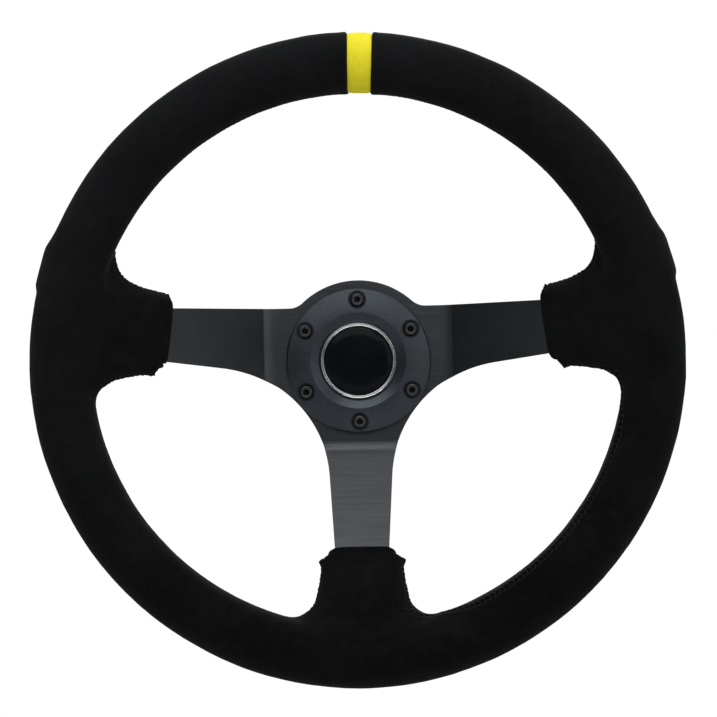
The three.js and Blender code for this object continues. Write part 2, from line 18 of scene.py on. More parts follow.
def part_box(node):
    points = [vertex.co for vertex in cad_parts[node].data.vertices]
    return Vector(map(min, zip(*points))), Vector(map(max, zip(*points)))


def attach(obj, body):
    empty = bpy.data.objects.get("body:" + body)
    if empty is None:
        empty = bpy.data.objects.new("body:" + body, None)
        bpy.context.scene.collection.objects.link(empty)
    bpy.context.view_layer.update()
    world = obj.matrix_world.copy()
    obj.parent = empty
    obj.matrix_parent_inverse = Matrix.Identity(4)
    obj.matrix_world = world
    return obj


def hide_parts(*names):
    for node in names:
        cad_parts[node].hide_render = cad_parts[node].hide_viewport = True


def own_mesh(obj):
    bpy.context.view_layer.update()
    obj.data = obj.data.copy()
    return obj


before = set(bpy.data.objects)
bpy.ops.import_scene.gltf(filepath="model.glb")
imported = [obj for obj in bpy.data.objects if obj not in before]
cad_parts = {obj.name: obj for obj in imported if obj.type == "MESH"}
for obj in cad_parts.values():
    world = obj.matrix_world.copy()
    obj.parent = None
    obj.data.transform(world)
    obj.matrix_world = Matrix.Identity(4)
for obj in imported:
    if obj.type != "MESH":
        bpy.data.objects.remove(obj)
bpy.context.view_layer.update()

MM = 0.001
TURN = 2 * math.pi

# ---------- sizes

core_low, core_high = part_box("rim_core")
CORE_RADIUS = (core_high.y - core_low.y) / 2
RIM_PLANE = (core_high.y + core_low.y) / 2
RIM_RADIUS = core_high.x - CORE_RADIUS
GRIP_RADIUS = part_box("suede_cover")[1].x - RIM_RADIUS

plate_low, plate_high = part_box("spoke_plate")
PLATE_REAR = plate_high.y
PLATE_THICKNESS = 2 * (RIM_PLANE - plate_low.y)
PLATE_MIDDLE = PLATE_REAR - PLATE_THICKNESS / 2

DISC_RADIUS = 46.4 * MM
HORN_BORE = 30.2 * MM
SCREW_CIRCLE = 35 * MM
SCREW_COUNT = 6
SCREW_HOLE = 2.8 * MM
BALL_COUNT = 6
RIB_COUNT = 12

BEND_START = 50 * MM
BEND_END = 144 * MM
BEND_RADIUS = 12 * MM
DISH_ANGLE = math.atan2(PLATE_MIDDLE - RIM_PLANE, BEND_END - BEND_START)

SIDE_SPOKE_TOP = 31 * MM
SPOKE_END = 151 * MM
TOP_FILLET = 12 * MM
LOWER_SWEEP = 68 * MM

SLEEVE_START = 102.2 * MM
SLEEVE_HALF_WIDTH = 22 * MM

MARKER_ANGLE = math.radians(88.3)
MARKER_HALF_WIDTH = 6 * MM
MARKER_TAPER = 64  # it widens on each side by 1 in this many


# ---------- the spoke plate's plan


def line(x1, z1, x2, z2):
    """A line in plan as a point, a unit direction and the unit normal away from the metal."""
    point = np.array([x1, z1]) * MM
    direction = np.array([x2 - x1, z2 - z1], float)
    direction /= np.linalg.norm(direction)
    return point, direction, np.array([direction[1], -direction[0]])


def shifted(a, by):
    return a[0] + a[2] * by, a[1], a[2]


def foot(a, p):
    return a[0] + a[1] * ((p - a[0]) @ a[1])


def crossing(a, b):
    matrix = np.column_stack([a[1], -b[1]])
    return a[0] + a[1] * np.linalg.solve(matrix, b[0] - a[0])[0]


def bearing(p, centre=(0, 0)):
    return math.atan2(p[1] - centre[1], p[0] - centre[0])


SIDE_LOWER_EDGE = line(66, -4.2, 105, 1.35)
BOTTOM_RIGHT_EDGE = line(15, -104, 18.5, -57)
SWEEP_CENTRE = crossing(shifted(SIDE_LOWER_EDGE, LOWER_SWEEP), shifted(BOTTOM_RIGHT_EDGE, LOWER_SWEEP))


def side_middle(x):
    """Height of a side spoke's centreline above the axis."""
    point, direction, _ = SIDE_LOWER_EDGE
    lower = point[1] + (x - point[0]) * direction[1] / direction[0]
    return (SIDE_SPOKE_TOP + lower) / 2


def arc(centre, radius, start, end, steps):
    angles = np.linspace(start, end, steps)
    return np.column_stack([centre[0] + radius * np.cos(angles), centre[1] + radius * np.sin(angles)])


def leaves_circle(a, radius):
    """Bearing at which a line leaves a circle round the axis, on the side away from the disc."""
    middle = foot(a, np.zeros(2))
    half = math.sqrt(radius**2 - middle @ middle)
    return bearing(middle + a[1] * (half if a[0] @ a[1] > 0 else -half))


def plate_outline(inset):
    """The plate's edge in plan, anticlockwise, drawn in by inset."""
    top = SIDE_SPOKE_TOP - inset
    centre_z = SIDE_SPOKE_TOP + TOP_FILLET
    centre_x = math.sqrt((DISC_RADIUS + TOP_FILLET) ** 2 - centre_z**2)
    lower = shifted(SIDE_LOWER_EDGE, -inset)
    right = shifted(BOTTOM_RIGHT_EDGE, -inset)
    end = SPOKE_END - inset
    meeting = bearing((centre_x, centre_z))
    to_lower = bearing(foot(lower, SWEEP_CENTRE), SWEEP_CENTRE)
    to_right = bearing(foot(right, SWEEP_CENTRE), SWEEP_CENTRE)
    half = np.vstack(
        [
            arc(SWEEP_CENTRE, LOWER_SWEEP + inset, to_right, to_lower, 40),
            arc((0, 0), end, leaves_circle(lower, end), math.asin(top / end), 8),
            arc((centre_x, centre_z), TOP_FILLET + inset, -math.pi / 2, meeting - math.pi, 14),
            arc((0, 0), DISC_RADIUS - inset, meeting, math.pi / 2, 24)[1:-1],
        ]
    )
    foot_half = arc((0, 0), end, -math.pi / 2, leaves_circle(right, end), 6)[1:]
    right_side = np.vstack([foot_half, half])
    left_side = right_side[::-1] * [-1, 1]
    return np.vstack([right_side, left_side])


# ---------- the dish


def dish_points():
    """Distance from the axis and y along the middle of the plate, seen edge on."""
    setback = BEND_RADIUS * math.tan(DISH_ANGLE / 2)
    angles = np.linspace(0, DISH_ANGLE, 9)
    run, rise = BEND_RADIUS * np.sin(angles), BEND_RADIUS * (1 - np.cos(angles))
    first = np.column_stack([BEND_START - setback + run, PLATE_MIDDLE - rise])
    second = np.column_stack([BEND_END + setback - run, RIM_PLANE + rise])[::-1]
    return np.vstack([[0, PLATE_MIDDLE], first, second, [2 * BEND_END, RIM_PLANE]])


DISH = dish_points()


def dish_y(s):
    return np.interp(s, DISH[:, 0], DISH[:, 1])


def dish_lean(s):
    """How far the plate leans from flat at a distance from the axis, in radians."""
    middles = (DISH[1:, 0] + DISH[:-1, 0]) / 2
    slopes = np.arctan2(DISH[:-1, 1] - DISH[1:, 1], DISH[1:, 0] - DISH[:-1, 0])
    return np.interp(s, middles[1:-1], slopes[1:-1], left=0, right=0)


# ---------- making meshes

SHARP = math.radians(32)  # edges that turn by more than this are shaded as creases


def placed(name, data):
    piece = bpy.data.objects.new(name, data)
    bpy.context.scene.collection.objects.link(piece)
    return piece


def add_object(name, vertices, faces):
    mesh = bpy.data.meshes.new(name)
    mesh.from_pydata([tuple(v) for v in vertices], [], [tuple(f) for f in faces])
    return placed(name, mesh)


def put_back(work, piece):
    """Gives a piece its edited mesh, faces outwards and smooth but for the sharp edges."""
    bmesh.ops.recalc_face_normals(work, faces=work.faces)
    work.to_mesh(piece.data)
    work.free()
    piece.data.shade_smooth()
    piece.data.set_sharp_from_angle(angle=SHARP)


def tidy_mesh(piece, weighted=True):
    """Merges doubles and, if weighted, lets the large faces set the shading of the small ones."""
    work = bmesh.new()
    work.from_mesh(piece.data)
    bmesh.ops.remove_doubles(work, verts=work.verts, dist=1e-7)
    put_back(work, piece)
    if weighted:
        modifier = piece.modifiers.new("even normals", "WEIGHTED_NORMAL")
        modifier.keep_sharp = True
    return piece


def rounded(corners, fillet, steps):
    """A closed profile whose corners are rounded; a corner may carry a fillet of its own."""
    places = [np.array(corner[:2], float) for corner in corners]
    points = []
    for k, corner in enumerate(corners):
        here = places[k]
        size = corner[2] if len(corner) > 2 else fillet
        if size == 0:
            points.append(here)
            continue
        back, ahead = places[k - 1] - here, places[(k + 1) % len(corners)] - here
        back_length, ahead_length = np.linalg.norm(back), np.linalg.norm(ahead)
        angle = math.acos(np.clip(back @ ahead / back_length / ahead_length, -1, 1))
        reach = min(size / math.tan(angle / 2), back_length * 0.49, ahead_length * 0.49)
        a = here + back / back_length * reach
        b = here + ahead / ahead_length * reach
        for t in np.linspace(0, 1, steps + 1):
            points.append((1 - t) ** 2 * a + 2 * t * (1 - t) * here + t**2 * b)
    return np.array(points)


def turned(name, corners, fillet, segments, steps=3):
    """A piece turned about the steering axis from (radius, y) corners in millimetres."""
    radius, y = rounded(corners, fillet, steps).T * MM
    angles = np.arange(segments) * TURN / segments
    loops = [np.column_stack([radius * math.cos(a), y, radius * math.sin(a)]) for a in angles]
    return tidy_mesh(lofted(name, loops, closed=True))


def band(a, b, count):
    """Quads between two loops of count vertices, numbered from a and from b."""
    return [[a + i, a + (i + 1) % count, b + (i + 1) % count, b + i] for i in range(count)]


def add_skin(vertices, faces, loops):
    """Adds loops of equal length and the quads between them. Gives where the two end loops start."""
    count, first = len(loops[0]), len(vertices)
    vertices.extend(np.vstack(loops))
    last = len(vertices) - count
    for a in range(first, last, count):
        faces.extend(band(a, a + count, count))
    return first, last


def drop_collapsed(vertices, faces):
    """Faces with their coincident corners dropped, as where a profile meets the axis."""
    kept = []
    for face in faces:
        corners = []
        for i in face:
            if not any(np.allclose(vertices[i], vertices[j], atol=1e-8) for j in corners):
                corners.append(i)
        if len(corners) > 2:
            kept.append(corners)
    return kept


def lofted(name, loops, closed=False):
    """A skin over loops of equal length, each (n, 3); its ends are capped unless it is closed."""
    vertices, faces, count = [], [], len(loops[0])
    first, last = add_skin(vertices, faces, loops)
    if closed:
        faces.extend(band(last, first, count))
        faces = drop_collapsed(vertices, faces)
    else:
        faces.extend([range(count)[::-1], range(last, last + count)])
    return add_object(name, vertices, faces)


def circle(radius, y, segments, centre=(0, 0), phase=0.0):
    """A loop round a centre at one y; the radius may be an array with a value for each vertex."""
    angles = phase + np.arange(segments) * TURN / segments
    x, z = centre[0] + radius * np.cos(angles), centre[1] + radius * np.sin(angles)
    return np.column_stack([x, np.full(segments, y), z])


def between_loops(points, corners, edges):
    """True for each point that an odd number of the loops' edges lie to one side of."""
    odd = np.zeros(len(points), bool)
    for a, b in edges:
        (ax, az), (bx, bz) = corners[a], corners[b]
        spans = (az > points[:, 1]) != (bz > points[:, 1])
        if az != bz:
            odd ^= spans & (points[:, 0] < ax + (bx - ax) * (points[:, 1] - az) / (bz - az))
    return odd


def pierced(name, walls):
    """A solid between two flat faces. Each wall is a list of loops from the front face to the rear:
    the outer edge first, then one wall for each hole."""
    vertices, faces, ends = [], [], ([], [])
    for wall in walls:
        for end, start in zip(ends, add_skin(vertices, faces, wall)):
            end.append(range(start, start + len(wall[0])))
    for end in ends:
        indices = [i for loop in end for i in loop]
        flat = [Vector((vertices[i][0], vertices[i][2])) for i in indices]
        edges, base = [], 0
        for loop in end:
            count = len(loop)
            edges.extend((base + i, base + (i + 1) % count) for i in range(count))
            base += count
        _, _, triangles, original, _, _ = delaunay_2d_cdt(flat, edges, [], 0, 1e-9)
        corners = np.array(flat)[[[original[i][0] for i in triangle] for triangle in triangles]]
        kept = between_loops(corners.mean(axis=1), np.array(flat), edges)
        faces.extend([indices[original[i][0]] for i in t] for t, keep in zip(triangles, kept) if keep)
    return tidy_mesh(add_object(name, vertices, faces))


def drilled(piece, tools):
    """Cuts the tools out of the piece's mesh and deletes them."""
    for tool in tools:
        tidy_mesh(tool, weighted=False)
    shading = list(piece.modifiers)
    for modifier in shading:
        modifier.show_viewport = False
    for tool in tools:
        modifier = piece.modifiers.new("cut", "BOOLEAN")
        modifier.object = tool
        modifier.operation = "DIFFERENCE"
        modifier.solver = "EXACT"
        graph = bpy.context.evaluated_depsgraph_get()
        mesh = bpy.data.meshes.new_from_object(piece.evaluated_get(graph))
        piece.modifiers.remove(modifier)
        piece.data = mesh
        bpy.data.objects.remove(tool)
    for modifier in shading:
        modifier.show_viewport = True
    tidy_mesh(piece, weighted=False)


def bent(piece):
    """Bends a flat sheet, drawn about y = 0, to the dish of the spokes."""
    work = bmesh.new()
    work.from_mesh(piece.data)
    stations = DISH[1:-1, 0]
    for normal in (Vector((1, 0, 0)), Vector((-1, 0, 0)), Vector((0, 0, -1))):
        for station in stations:
            parts = work.verts[:] + work.edges[:] + work.faces[:]
            bmesh.ops.bisect_plane(work, geom=parts, plane_co=normal * station, plane_no=normal, dist=1e-6)
    for vertex in work.verts:
        x, h, z = vertex.co
        down = -z > abs(x)
        s = -z if down else abs(x)
        lean = float(dish_lean(s))
        out = h * math.sin(lean)
        vertex.co.y = float(dish_y(s)) + h * math.cos(lean)
        if down:
            vertex.co.z = z - out
        else:
            vertex.co.x = x + math.copysign(out, x)
    put_back(work, piece)
    return piece


def fit(piece, body, slot, *nodes):
    """Says what a piece rides on, where its finish comes from and which CAD nodes it stands for."""
    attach(piece, body)
    if nodes:
        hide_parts(*nodes)
    piece.data.materials.clear()
    piece.data.materials.append(MATERIALS[slot])


# ---------- materials


def feed(node, **values):
    """Sets a node's inputs, or links them to other nodes' outputs; _ in a name stands for a space."""
    for name, value in values.items():
        socket = node.inputs[name.replace("_", " ")]
        if isinstance(value, bpy.types.NodeSocket):
            node.id_data.links.new(value, socket)
        else:
            socket.default_value = value
    return node


def add_node(tree, kind, **values):
    return feed(tree.nodes.new(kind), **values)


class Shader:
    """A Principled material whose nodes are wired by short calls."""

    def __init__(self, name, **sockets):
        self.material = bpy.data.materials.new(name)
        self.material.use_nodes = True
        self.tree = self.material.node_tree
        self.surface = feed(self.tree.nodes["Principled BSDF"], **sockets)
        self.place = add_node(self.tree, "ShaderNodeTexCoord").outputs["Object"]

    def stretched(self, scale):
        return add_node(self.tree, "ShaderNodeMapping", Vector=self.place, Scale=scale).outputs["Vector"]

    def noise(self, scale, detail=3.0, roughness=0.55, place=None):
        node = add_node(self.tree, "ShaderNodeTexNoise", Scale=scale, Detail=detail, Roughness=roughness)
        return feed(node, Vector=place or self.place).outputs["Fac"]

    def ramp(self, value, *stops):
        node = add_node(self.tree, "ShaderNodeValToRGB", Fac=value)
        for element, (at, colour) in zip(node.color_ramp.elements, stops, strict=True):
            element.position = at
            element.color = (*colour, 1)
        return node.outputs["Color"]

    def spread(self, value, low, high):
        node = add_node(self.tree, "ShaderNodeMapRange", Value=value, To_Min=low, To_Max=high)
        return node.outputs["Result"]

    def mixed(self, a, b, share):
        return add_node(self.tree, "ShaderNodeMix", Factor=share, A=a, B=b).outputs["Result"]

    def along(self, direction, reach):
        """0 to 1 over the object's own space, from one side of it to the other."""
        dot = self.tree.nodes.new("ShaderNodeVectorMath")
        dot.operation = "DOT_PRODUCT"
        dot.inputs[1].default_value = direction
        self.tree.links.new(self.place, dot.inputs[0])
        share = add_node(self.tree, "ShaderNodeMapRange", From_Min=-reach, From_Max=reach)
        return feed(share, Value=dot.outputs["Value"]).outputs["Result"]

    def colour(self, output):
        feed(self.surface, Base_Color=output)

    def roughness(self, output):
        feed(self.surface, Roughness=output)

    def bump(self, height, strength, distance):
        node = add_node(self.tree, "ShaderNodeBump", Height=height, Strength=strength, Distance=distance)
        feed(self.surface, Normal=node.outputs["Normal"])


def grey(value, blue=0.0):
    return (value, value * (1 + blue * 0.4), value * (1 + blue))


# Painted light: part of the suede's colour is a gradient, lighter up and to the left, where more light falls
PAINTED_LIGHT_SIDE = (-0.3, 0.0, 0.95)  # painted light: the suede's colour is made lighter towards this side, up and a little left
PAINTED_LIGHT_SHARE = 0.2


def suede(name, dark, light, sheen, sheen_tint):
    """Brushed nap: patches that fall either way, a fine pile, painted light that lightens one side, and a
    soft glow at grazing angles.
    """
    made = Shader(name, Roughness=0.95, Specular_IOR_Level=0.08)
    feed(made.surface, Sheen_Weight=sheen, Sheen_Roughness=0.45, Sheen_Tint=(*sheen_tint, 1))
    patches = made.mixed(made.noise(30, 4, 0.6), made.noise(170, 3, 0.65), 0.4)
    nap = made.noise(900, 3, 0.7)
    # Painted light: the nap's patches and pile are mixed with a gradient that lightens one side
    nap_and_painted_light = made.mixed(made.mixed(patches, nap, 0.35), made.along(PAINTED_LIGHT_SIDE, 0.19), PAINTED_LIGHT_SHARE)
    made.colour(made.ramp(nap_and_painted_light, (0.37, dark), (0.63, light)))
    made.bump(made.mixed(nap, made.noise(2600, 2, 0.6), 0.4), 0.32, 0.0004)
    return made.material


def brushed(name, dark, light, rough):
    """Metal ground along X: fine lines in the colour, the gloss and the surface. Its highlights
    spread across the lines."""
    made = Shader(name, Metallic=1.0, Anisotropic=0.3, Anisotropic_Rotation=0.25)
    lines = made.noise(34, 5, 0.6, made.stretched((1.2, 110.0, 110.0)))
    clouds = made.noise(26, 3, 0.5)
    made.colour(made.ramp(made.mixed(lines, clouds, 0.3), (0.33, dark), (0.67, light)))
    made.roughness(made.spread(lines, rough - 0.1, rough + 0.1))
    made.bump(lines, 0.17, 0.00006)
    return made.material


def machined(name, dark, light, rough, metallic=1.0, grain=700.0, strength=0.08, gloss=0.5):
    """An even blasted or plated finish with a faint grain."""
    made = Shader(name, Metallic=metallic, Specular_IOR_Level=gloss)
    grains = made.noise(grain, 3, 0.6)
    clouds = made.noise(45, 3, 0.5)
    made.colour(made.ramp(made.mixed(grains, clouds, 0.5), (0.3, dark), (0.7, light)))
    made.roughness(made.spread(clouds, rough - 0.05, rough + 0.07))
    made.bump(grains, strength, 0.00005)
    return made.material


def resin(name):
    """Clear gloss poured over black."""
    made = Shader(name, Specular_IOR_Level=0.05)
    clouds = made.noise(60, 3, 0.5)
    made.colour(made.ramp(clouds, (0.3, grey(0.0025, 0.5)), (0.7, grey(0.0045, 0.6))))
    made.roughness(made.spread(made.noise(240, 3, 0.5), 0.08, 0.16))
    made.bump(made.noise(50, 2, 0.4), 0.015, 0.0002)
    return made.material


def chrome(name):
    made = Shader(name, Metallic=1.0)
    made.colour(made.ramp(made.noise(80, 2, 0.5), (0.3, grey(0.78)), (0.7, grey(0.86, 0.02))))
    made.roughness(made.spread(made.noise(120, 2, 0.5), 0.04, 0.07))
    return made.material


def foam(name):
    made = Shader(name, Roughness=0.95)
    cells = made.noise(520, 4, 0.7)
    made.colour(made.ramp(cells, (0.35, grey(0.02)), (0.65, grey(0.06))))
    made.bump(cells, 0.6, 0.0006)
    return made.material


MATERIALS = {}


def finish(name, make, *looks, **options):
    MATERIALS[name] = make(name, *looks, **options)


finish("brushed_anodised_aluminium", brushed, grey(0.028, 0.14), grey(0.056, 0.16), 0.36)
finish("black_anodised_aluminium", machined, grey(0.031, 0.3), grey(0.047, 0.34), 0.37)
finish("bare_aluminium", machined, grey(0.42), grey(0.55), 0.36)
finish("grip_foam", foam)
finish("black_suede", suede, grey(0.0006, 0.1), grey(0.005, 0.14), 0.02, grey(0.4, 0.12))
finish("yellow_suede", suede, (0.545, 0.465, 0.009), (0.67, 0.6, 0.031), 0.02, (0.9, 0.86, 0.1))
finish("black_oxide_steel", machined, grey(0.045), grey(0.075), 0.32)
finish("spring_steel", machined, grey(0.3), grey(0.42), 0.28)
finish("ball_steel", machined, grey(0.55), grey(0.68), 0.12, strength=0.02)
finish("chrome_plate", chrome)
finish("gloss_black_plastic", resin)
finish("black_nylon", machined, grey(0.012), grey(0.022), 0.5, metallic=0.0, grain=420.0, strength=0.2)
finish("brass", machined, (0.50, 0.32, 0.09), (0.66, 0.45, 0.16), 0.26)
THREAD = machined(
    "dark_thread", grey(0.003), grey(0.01), 0.8, metallic=0.0, grain=1800.0, strength=0.5, gloss=0.2
)

# ---------- the grip as a distance function

SLOPE = np.array([math.cos(DISH_ANGLE), math.sin(DISH_ANGLE)])
FRONT_HALF = 5 * MM
SLEEVE_END_U = (SLEEVE_START - BEND_START + FRONT_HALF * SLOPE[1]) / SLOPE[0]
RIM_U = (RIM_RADIUS - GRIP_RADIUS - BEND_START) / SLOPE[0]
SLEEVE_STOP_U = 128 * MM
UPPER_CORNER = (2.4 * MM, 6.5 * MM)  # a cut corner's length along the sleeve and across it
LOWER_CORNER = (6 * MM, 5.5 * MM)
PLATE_ROOM = 0.45 * MM
POCKET_DEPTH = 4 * MM
POCKET_HALF_WIDTH = 16 * MM
POCKET_MOUTH = 8 * MM
POCKET_ROUNDING = 0.8 * MM
END_LEAN = 0.15
UPPER_FLARE, UPPER_FLARE_START, UPPER_FLARE_RUN = 0.19, 104 * MM, 30 * MM
LOWER_FLARE, LOWER_FLARE_START, LOWER_FLARE_RUN = 3 * MM, 112 * MM, 17 * MM
FRONT_SWELL = 1.5 * MM
REAR_SWELL = 7 * MM
SLEEVE_CROWN = 0.48 * MM
END_ROUNDING = 2.4 * MM
# How widely a sleeve blends into the rim, in millimetres: everywhere, then added at its edges
LEAST_BLEND, UPPER_BLEND, LOWER_BLEND = 5, 24, 10
EDGE_ZONE, FRONT_ZONE, FRONT_LOSS = (12 * MM, 24 * MM), (1 * MM, 7 * MM), 0.75
SKIN = 1.6 * MM
LIP, LIP_WIDTH, LIP_ROUNDING = 0.45 * MM, 2.6 * MM, 2.2 * MM
PARTING = 0.25 * MM


def smoothstep(x, low, high):
    t = np.clip((x - low) / (high - low), 0, 1)
    return t * t * (3 - 2 * t)


def bell(x, width):
    return np.exp(-((x / width) ** 2))


def smooth_min(a, b, k):
    h = np.maximum(k - np.abs(a - b), 0) / k
    return np.minimum(a, b) - h * h * k / 4


def smooth_max(a, b, k):
    return -smooth_min(-a, -b, k)


def spoke_places(x, y, z):
    """For each sleeve: distance out and distance across in plan, then along the slope and off it.
    A side sleeve's end leans, square to the spoke's lower edge."""
    above = z - side_middle(np.abs(x))
    for out, across, lean in ((x, above, END_LEAN), (-x, above, END_LEAN), (-z, x, 0)):
        run, drop = out - BEND_START, y - PLATE_MIDDLE
        u = run * SLOPE[0] - drop * SLOPE[1] + lean * across
        yield out, across, u, run * SLOPE[1] + drop * SLOPE[0], lean


def on_upper_edge(across, lean):
    """True above the middle of a side sleeve."""
    return (lean > 0) & (across > 0)


def end_corner(across, lean):
    above = on_upper_edge(across, lean)
    return [np.where(above, upper, lower) for upper, lower in zip(UPPER_CORNER, LOWER_CORNER)]


def flare(out, across, lean):
    """How much wider a sleeve is than at its end; a side sleeve spreads most along its upper edge."""
    both = LOWER_FLARE * np.clip((out - LOWER_FLARE_START) / LOWER_FLARE_RUN, 0, 1.4) ** 2
    above = UPPER_FLARE * np.clip(out - UPPER_FLARE_START, 0, UPPER_FLARE_RUN)
    return np.where(on_upper_edge(across, lean), above, both)


def sleeve(out, across, u, n, lean, grow):
    """Distance to one sleeve: a flat-sided wrap that thickens and widens on its way to the rim."""
    share = smoothstep(u, SLEEVE_END_U, RIM_U)
    front = FRONT_HALF + FRONT_SWELL * share
    rear = FRONT_HALF + REAR_SWELL * share
    half = (front + rear) / 2
    offset = n - (rear - front) / 2
    run, drop = end_corner(across, lean)
    chamfer = drop * np.clip((SLEEVE_END_U + run - u) / run, 0, 1)
    width = SLEEVE_HALF_WIDTH - chamfer + flare(out, across, lean)
    crown = SLEEVE_CROWN * (1 - np.clip(across / width, -1, 1) ** 2)
    half = half - grow
    round_side = np.maximum(np.abs(across) - (width - grow - half), 0)
    side = np.hypot(round_side, offset) - half - crown
    end = SLEEVE_END_U + grow - u
    stop = u - SLEEVE_STOP_U
    return np.maximum(smooth_max(side, end, END_ROUNDING), stop)


def grip(x, y, z, grow=0.0, open_ends=True):
    """Distance to the wrapped rim and sleeves, drawn in by grow; open ends leave room for the plate."""
    body = np.hypot(np.hypot(x, z) - RIM_RADIUS, y - RIM_PLANE) - GRIP_RADIUS + grow
    rooms = []
    for out, across, u, n, lean in spoke_places(x, y, z):
        fullest = np.where(on_upper_edge(across, lean), UPPER_BLEND, LOWER_BLEND)
        kept = 1 - FRONT_LOSS * smoothstep(-n, *FRONT_ZONE)
        blend = (LEAST_BLEND + fullest * smoothstep(np.abs(across), *EDGE_ZONE) * kept) * MM
        body = smooth_min(body, sleeve(out, across, u, n, lean, grow), blend)
        room = np.maximum(np.abs(n) - PLATE_THICKNESS / 2 - PLATE_ROOM, np.abs(across) - POCKET_HALF_WIDTH)
        in_from_end = u - SLEEVE_END_U
        rooms.append(np.maximum(room, np.maximum(in_from_end - POCKET_DEPTH, -POCKET_MOUTH - in_from_end)))
    if open_ends:
        for room in rooms:
            body = smooth_max(body, -room, POCKET_ROUNDING)
    return body


def marker_offset(x, z):
    """Distance from the marker's middle, less its own half width, which grows outwards a little."""
    along = x * math.cos(MARKER_ANGLE) + z * math.sin(MARKER_ANGLE)
    aside = np.abs(x * math.sin(MARKER_ANGLE) - z * math.cos(MARKER_ANGLE))
    half = MARKER_HALF_WIDTH + (along - RIM_RADIUS) / MARKER_TAPER
    return np.where(along > 0, aside - half, 1.0)


def cover(x, y, z):
    """The suede, parted at the marker, where its turned edges stand a little proud."""
    body = grip(x, y, z)
    gap = marker_offset(x, z)
    lip = LIP * bell(gap, LIP_WIDTH)
    body = body - np.where(gap < 12 * MM, lip, 0)
    return smooth_max(body, -(gap - PARTING), LIP_ROUNDING)


def padding(x, y, z):
    return grip(x, y, z, grow=SKIN, open_ends=False)


# ---------- a mesh from a distance function

GRID_HALF = 0.180
GRID_FRONT = RIM_PLANE - 0.020
GRID_REAR = PLATE_REAR - 0.036
EVENING = 0.6  # how far each round moves a vertex towards the middle of its neighbours


def surface_nets(function, low, high, step):
    """Vertices and quads on the zero surface of a function, one vertex to each cell it crosses."""
    axes = [np.arange(low[i], high[i] + step, step) for i in range(3)]
    values = function(axes[0][:, None, None], axes[1][None, :, None], axes[2][None, None, :])
    inside = values < 0
    corners = [(i, j, k) for i in (0, 1) for j in (0, 1) for k in (0, 1)]
    shape = np.array(values.shape) - 1
    count = sum(
        inside[i : i + shape[0], j : j + shape[1], k : k + shape[2]].astype(np.int8) for i, j, k in corners
    )
    cells = np.argwhere((count > 0) & (count < 8))
    at = {c: values[cells[:, 0] + c[0], cells[:, 1] + c[1], cells[:, 2] + c[2]] for c in corners}
    total, crossed = np.zeros((len(cells), 3)), np.zeros(len(cells))
    for a in corners:
        for axis in range(3):
            if a[axis]:
                continue
            b = tuple(1 if i == axis else a[i] for i in range(3))
            cut = (at[a] < 0) != (at[b] < 0)
            share = at[a][cut] / (at[a][cut] - at[b][cut])
            point = np.tile(np.array(a, float), (cut.sum(), 1))
            point[:, axis] = share
            total[cut] += point
            crossed[cut] += 1
    vertices = np.array(low) + (cells + total / crossed[:, None]) * step
    index = np.full(shape, -1, np.int32)
    index[tuple(cells.T)] = np.arange(len(cells))
    quads = []
    for axis in range(3):
        change = np.diff(inside.astype(np.int8), axis=axis)
        edges = np.argwhere(change)
        others = [i for i in range(3) if i != axis]
        for i in others:
            edges = edges[(edges[:, i] > 0) & (edges[:, i] < shape[i])]
        ring = []
        for back in ((1, 1), (0, 1), (0, 0), (1, 0)):
            cell = edges.copy()
            cell[:, others] -= back
            ring.append(index[tuple(cell.T)])
        ring = np.column_stack(ring)
        outward = change[tuple(edges.T)] < 0
        turn = outward if axis != 1 else ~outward
        ring[~turn] = ring[~turn][:, ::-1]
        quads.append(ring)
    return vertices, np.vstack(quads)


def gradient(function, points):
    reach = 0.05 * MM
    slopes = []
    for axis in range(3):
        ahead, behind = points.copy(), points.copy()
        ahead[:, axis] += reach
        behind[:, axis] -= reach
        slopes.append((function(*ahead.T) - function(*behind.T)) / (2 * reach))
    return np.column_stack(slopes)


def steepness(slope):
    """The square of the slope, kept away from nothing."""
    return np.maximum((slope**2).sum(1), 0.2)


def settled(function, vertices, quads, rounds):
    """Evens the mesh out and draws each vertex back onto the surface."""
    pairs = np.vstack([quads[:, [k, (k + 1) % 4]] for k in range(4)])
    pairs = np.vstack([pairs, pairs[:, ::-1]])
    weight = np.bincount(pairs[:, 0], minlength=len(vertices))
    for _ in range(rounds):
        sums = [np.bincount(pairs[:, 0], vertices[pairs[:, 1], i], len(vertices)) for i in range(3)]
        vertices = vertices + EVENING * (np.column_stack(sums) / weight[:, None] - vertices)
        for _ in range(2):
            value, slope = function(*vertices.T), gradient(function, vertices)
            move = np.clip(value / steepness(slope), -MM, MM)
            vertices = vertices - slope * move[:, None]
    return vertices


def drawn(function, step, rounds=3):
    low, high = (-GRID_HALF, GRID_FRONT, -GRID_HALF), (GRID_HALF, GRID_REAR, GRID_HALF)
    vertices, quads = surface_nets(function, low, high, step)
    return settled(function, vertices, quads, rounds), quads


# ---------- seams

UPPER, LEFT, RIGHT = (0.0, 85 * MM), (-78 * MM, -72 * MM), (78 * MM, -72 * MM)
SEAM_SHIFT = {UPPER: -8 * MM, LEFT: -8 * MM, RIGHT: 7.4 * MM}
STITCH_PITCH = 3.2 * MM
SEAM_STEP = 0.4 * MM
SEAM_REACH = 7 * MM
SEAM_LIMIT = 146 * MM
# How far the skin moves at the seams and hems, in millimetres
RIDGE, RIDGE_WAVE, EAR = 0.75, 0.35, 1.3
GROOVE, SHOULDER, SHOULDER_WAVE = -0.8, 0.3, 0.12
HEM_LINE, HEM_EDGE = -0.9, 0.6


def on_sleeve(x, z):
    """1 on a sleeve and 0 on the rim, with a soft step between them."""
    return 1 - smoothstep(np.hypot(x, z), 128 * MM, 141 * MM)


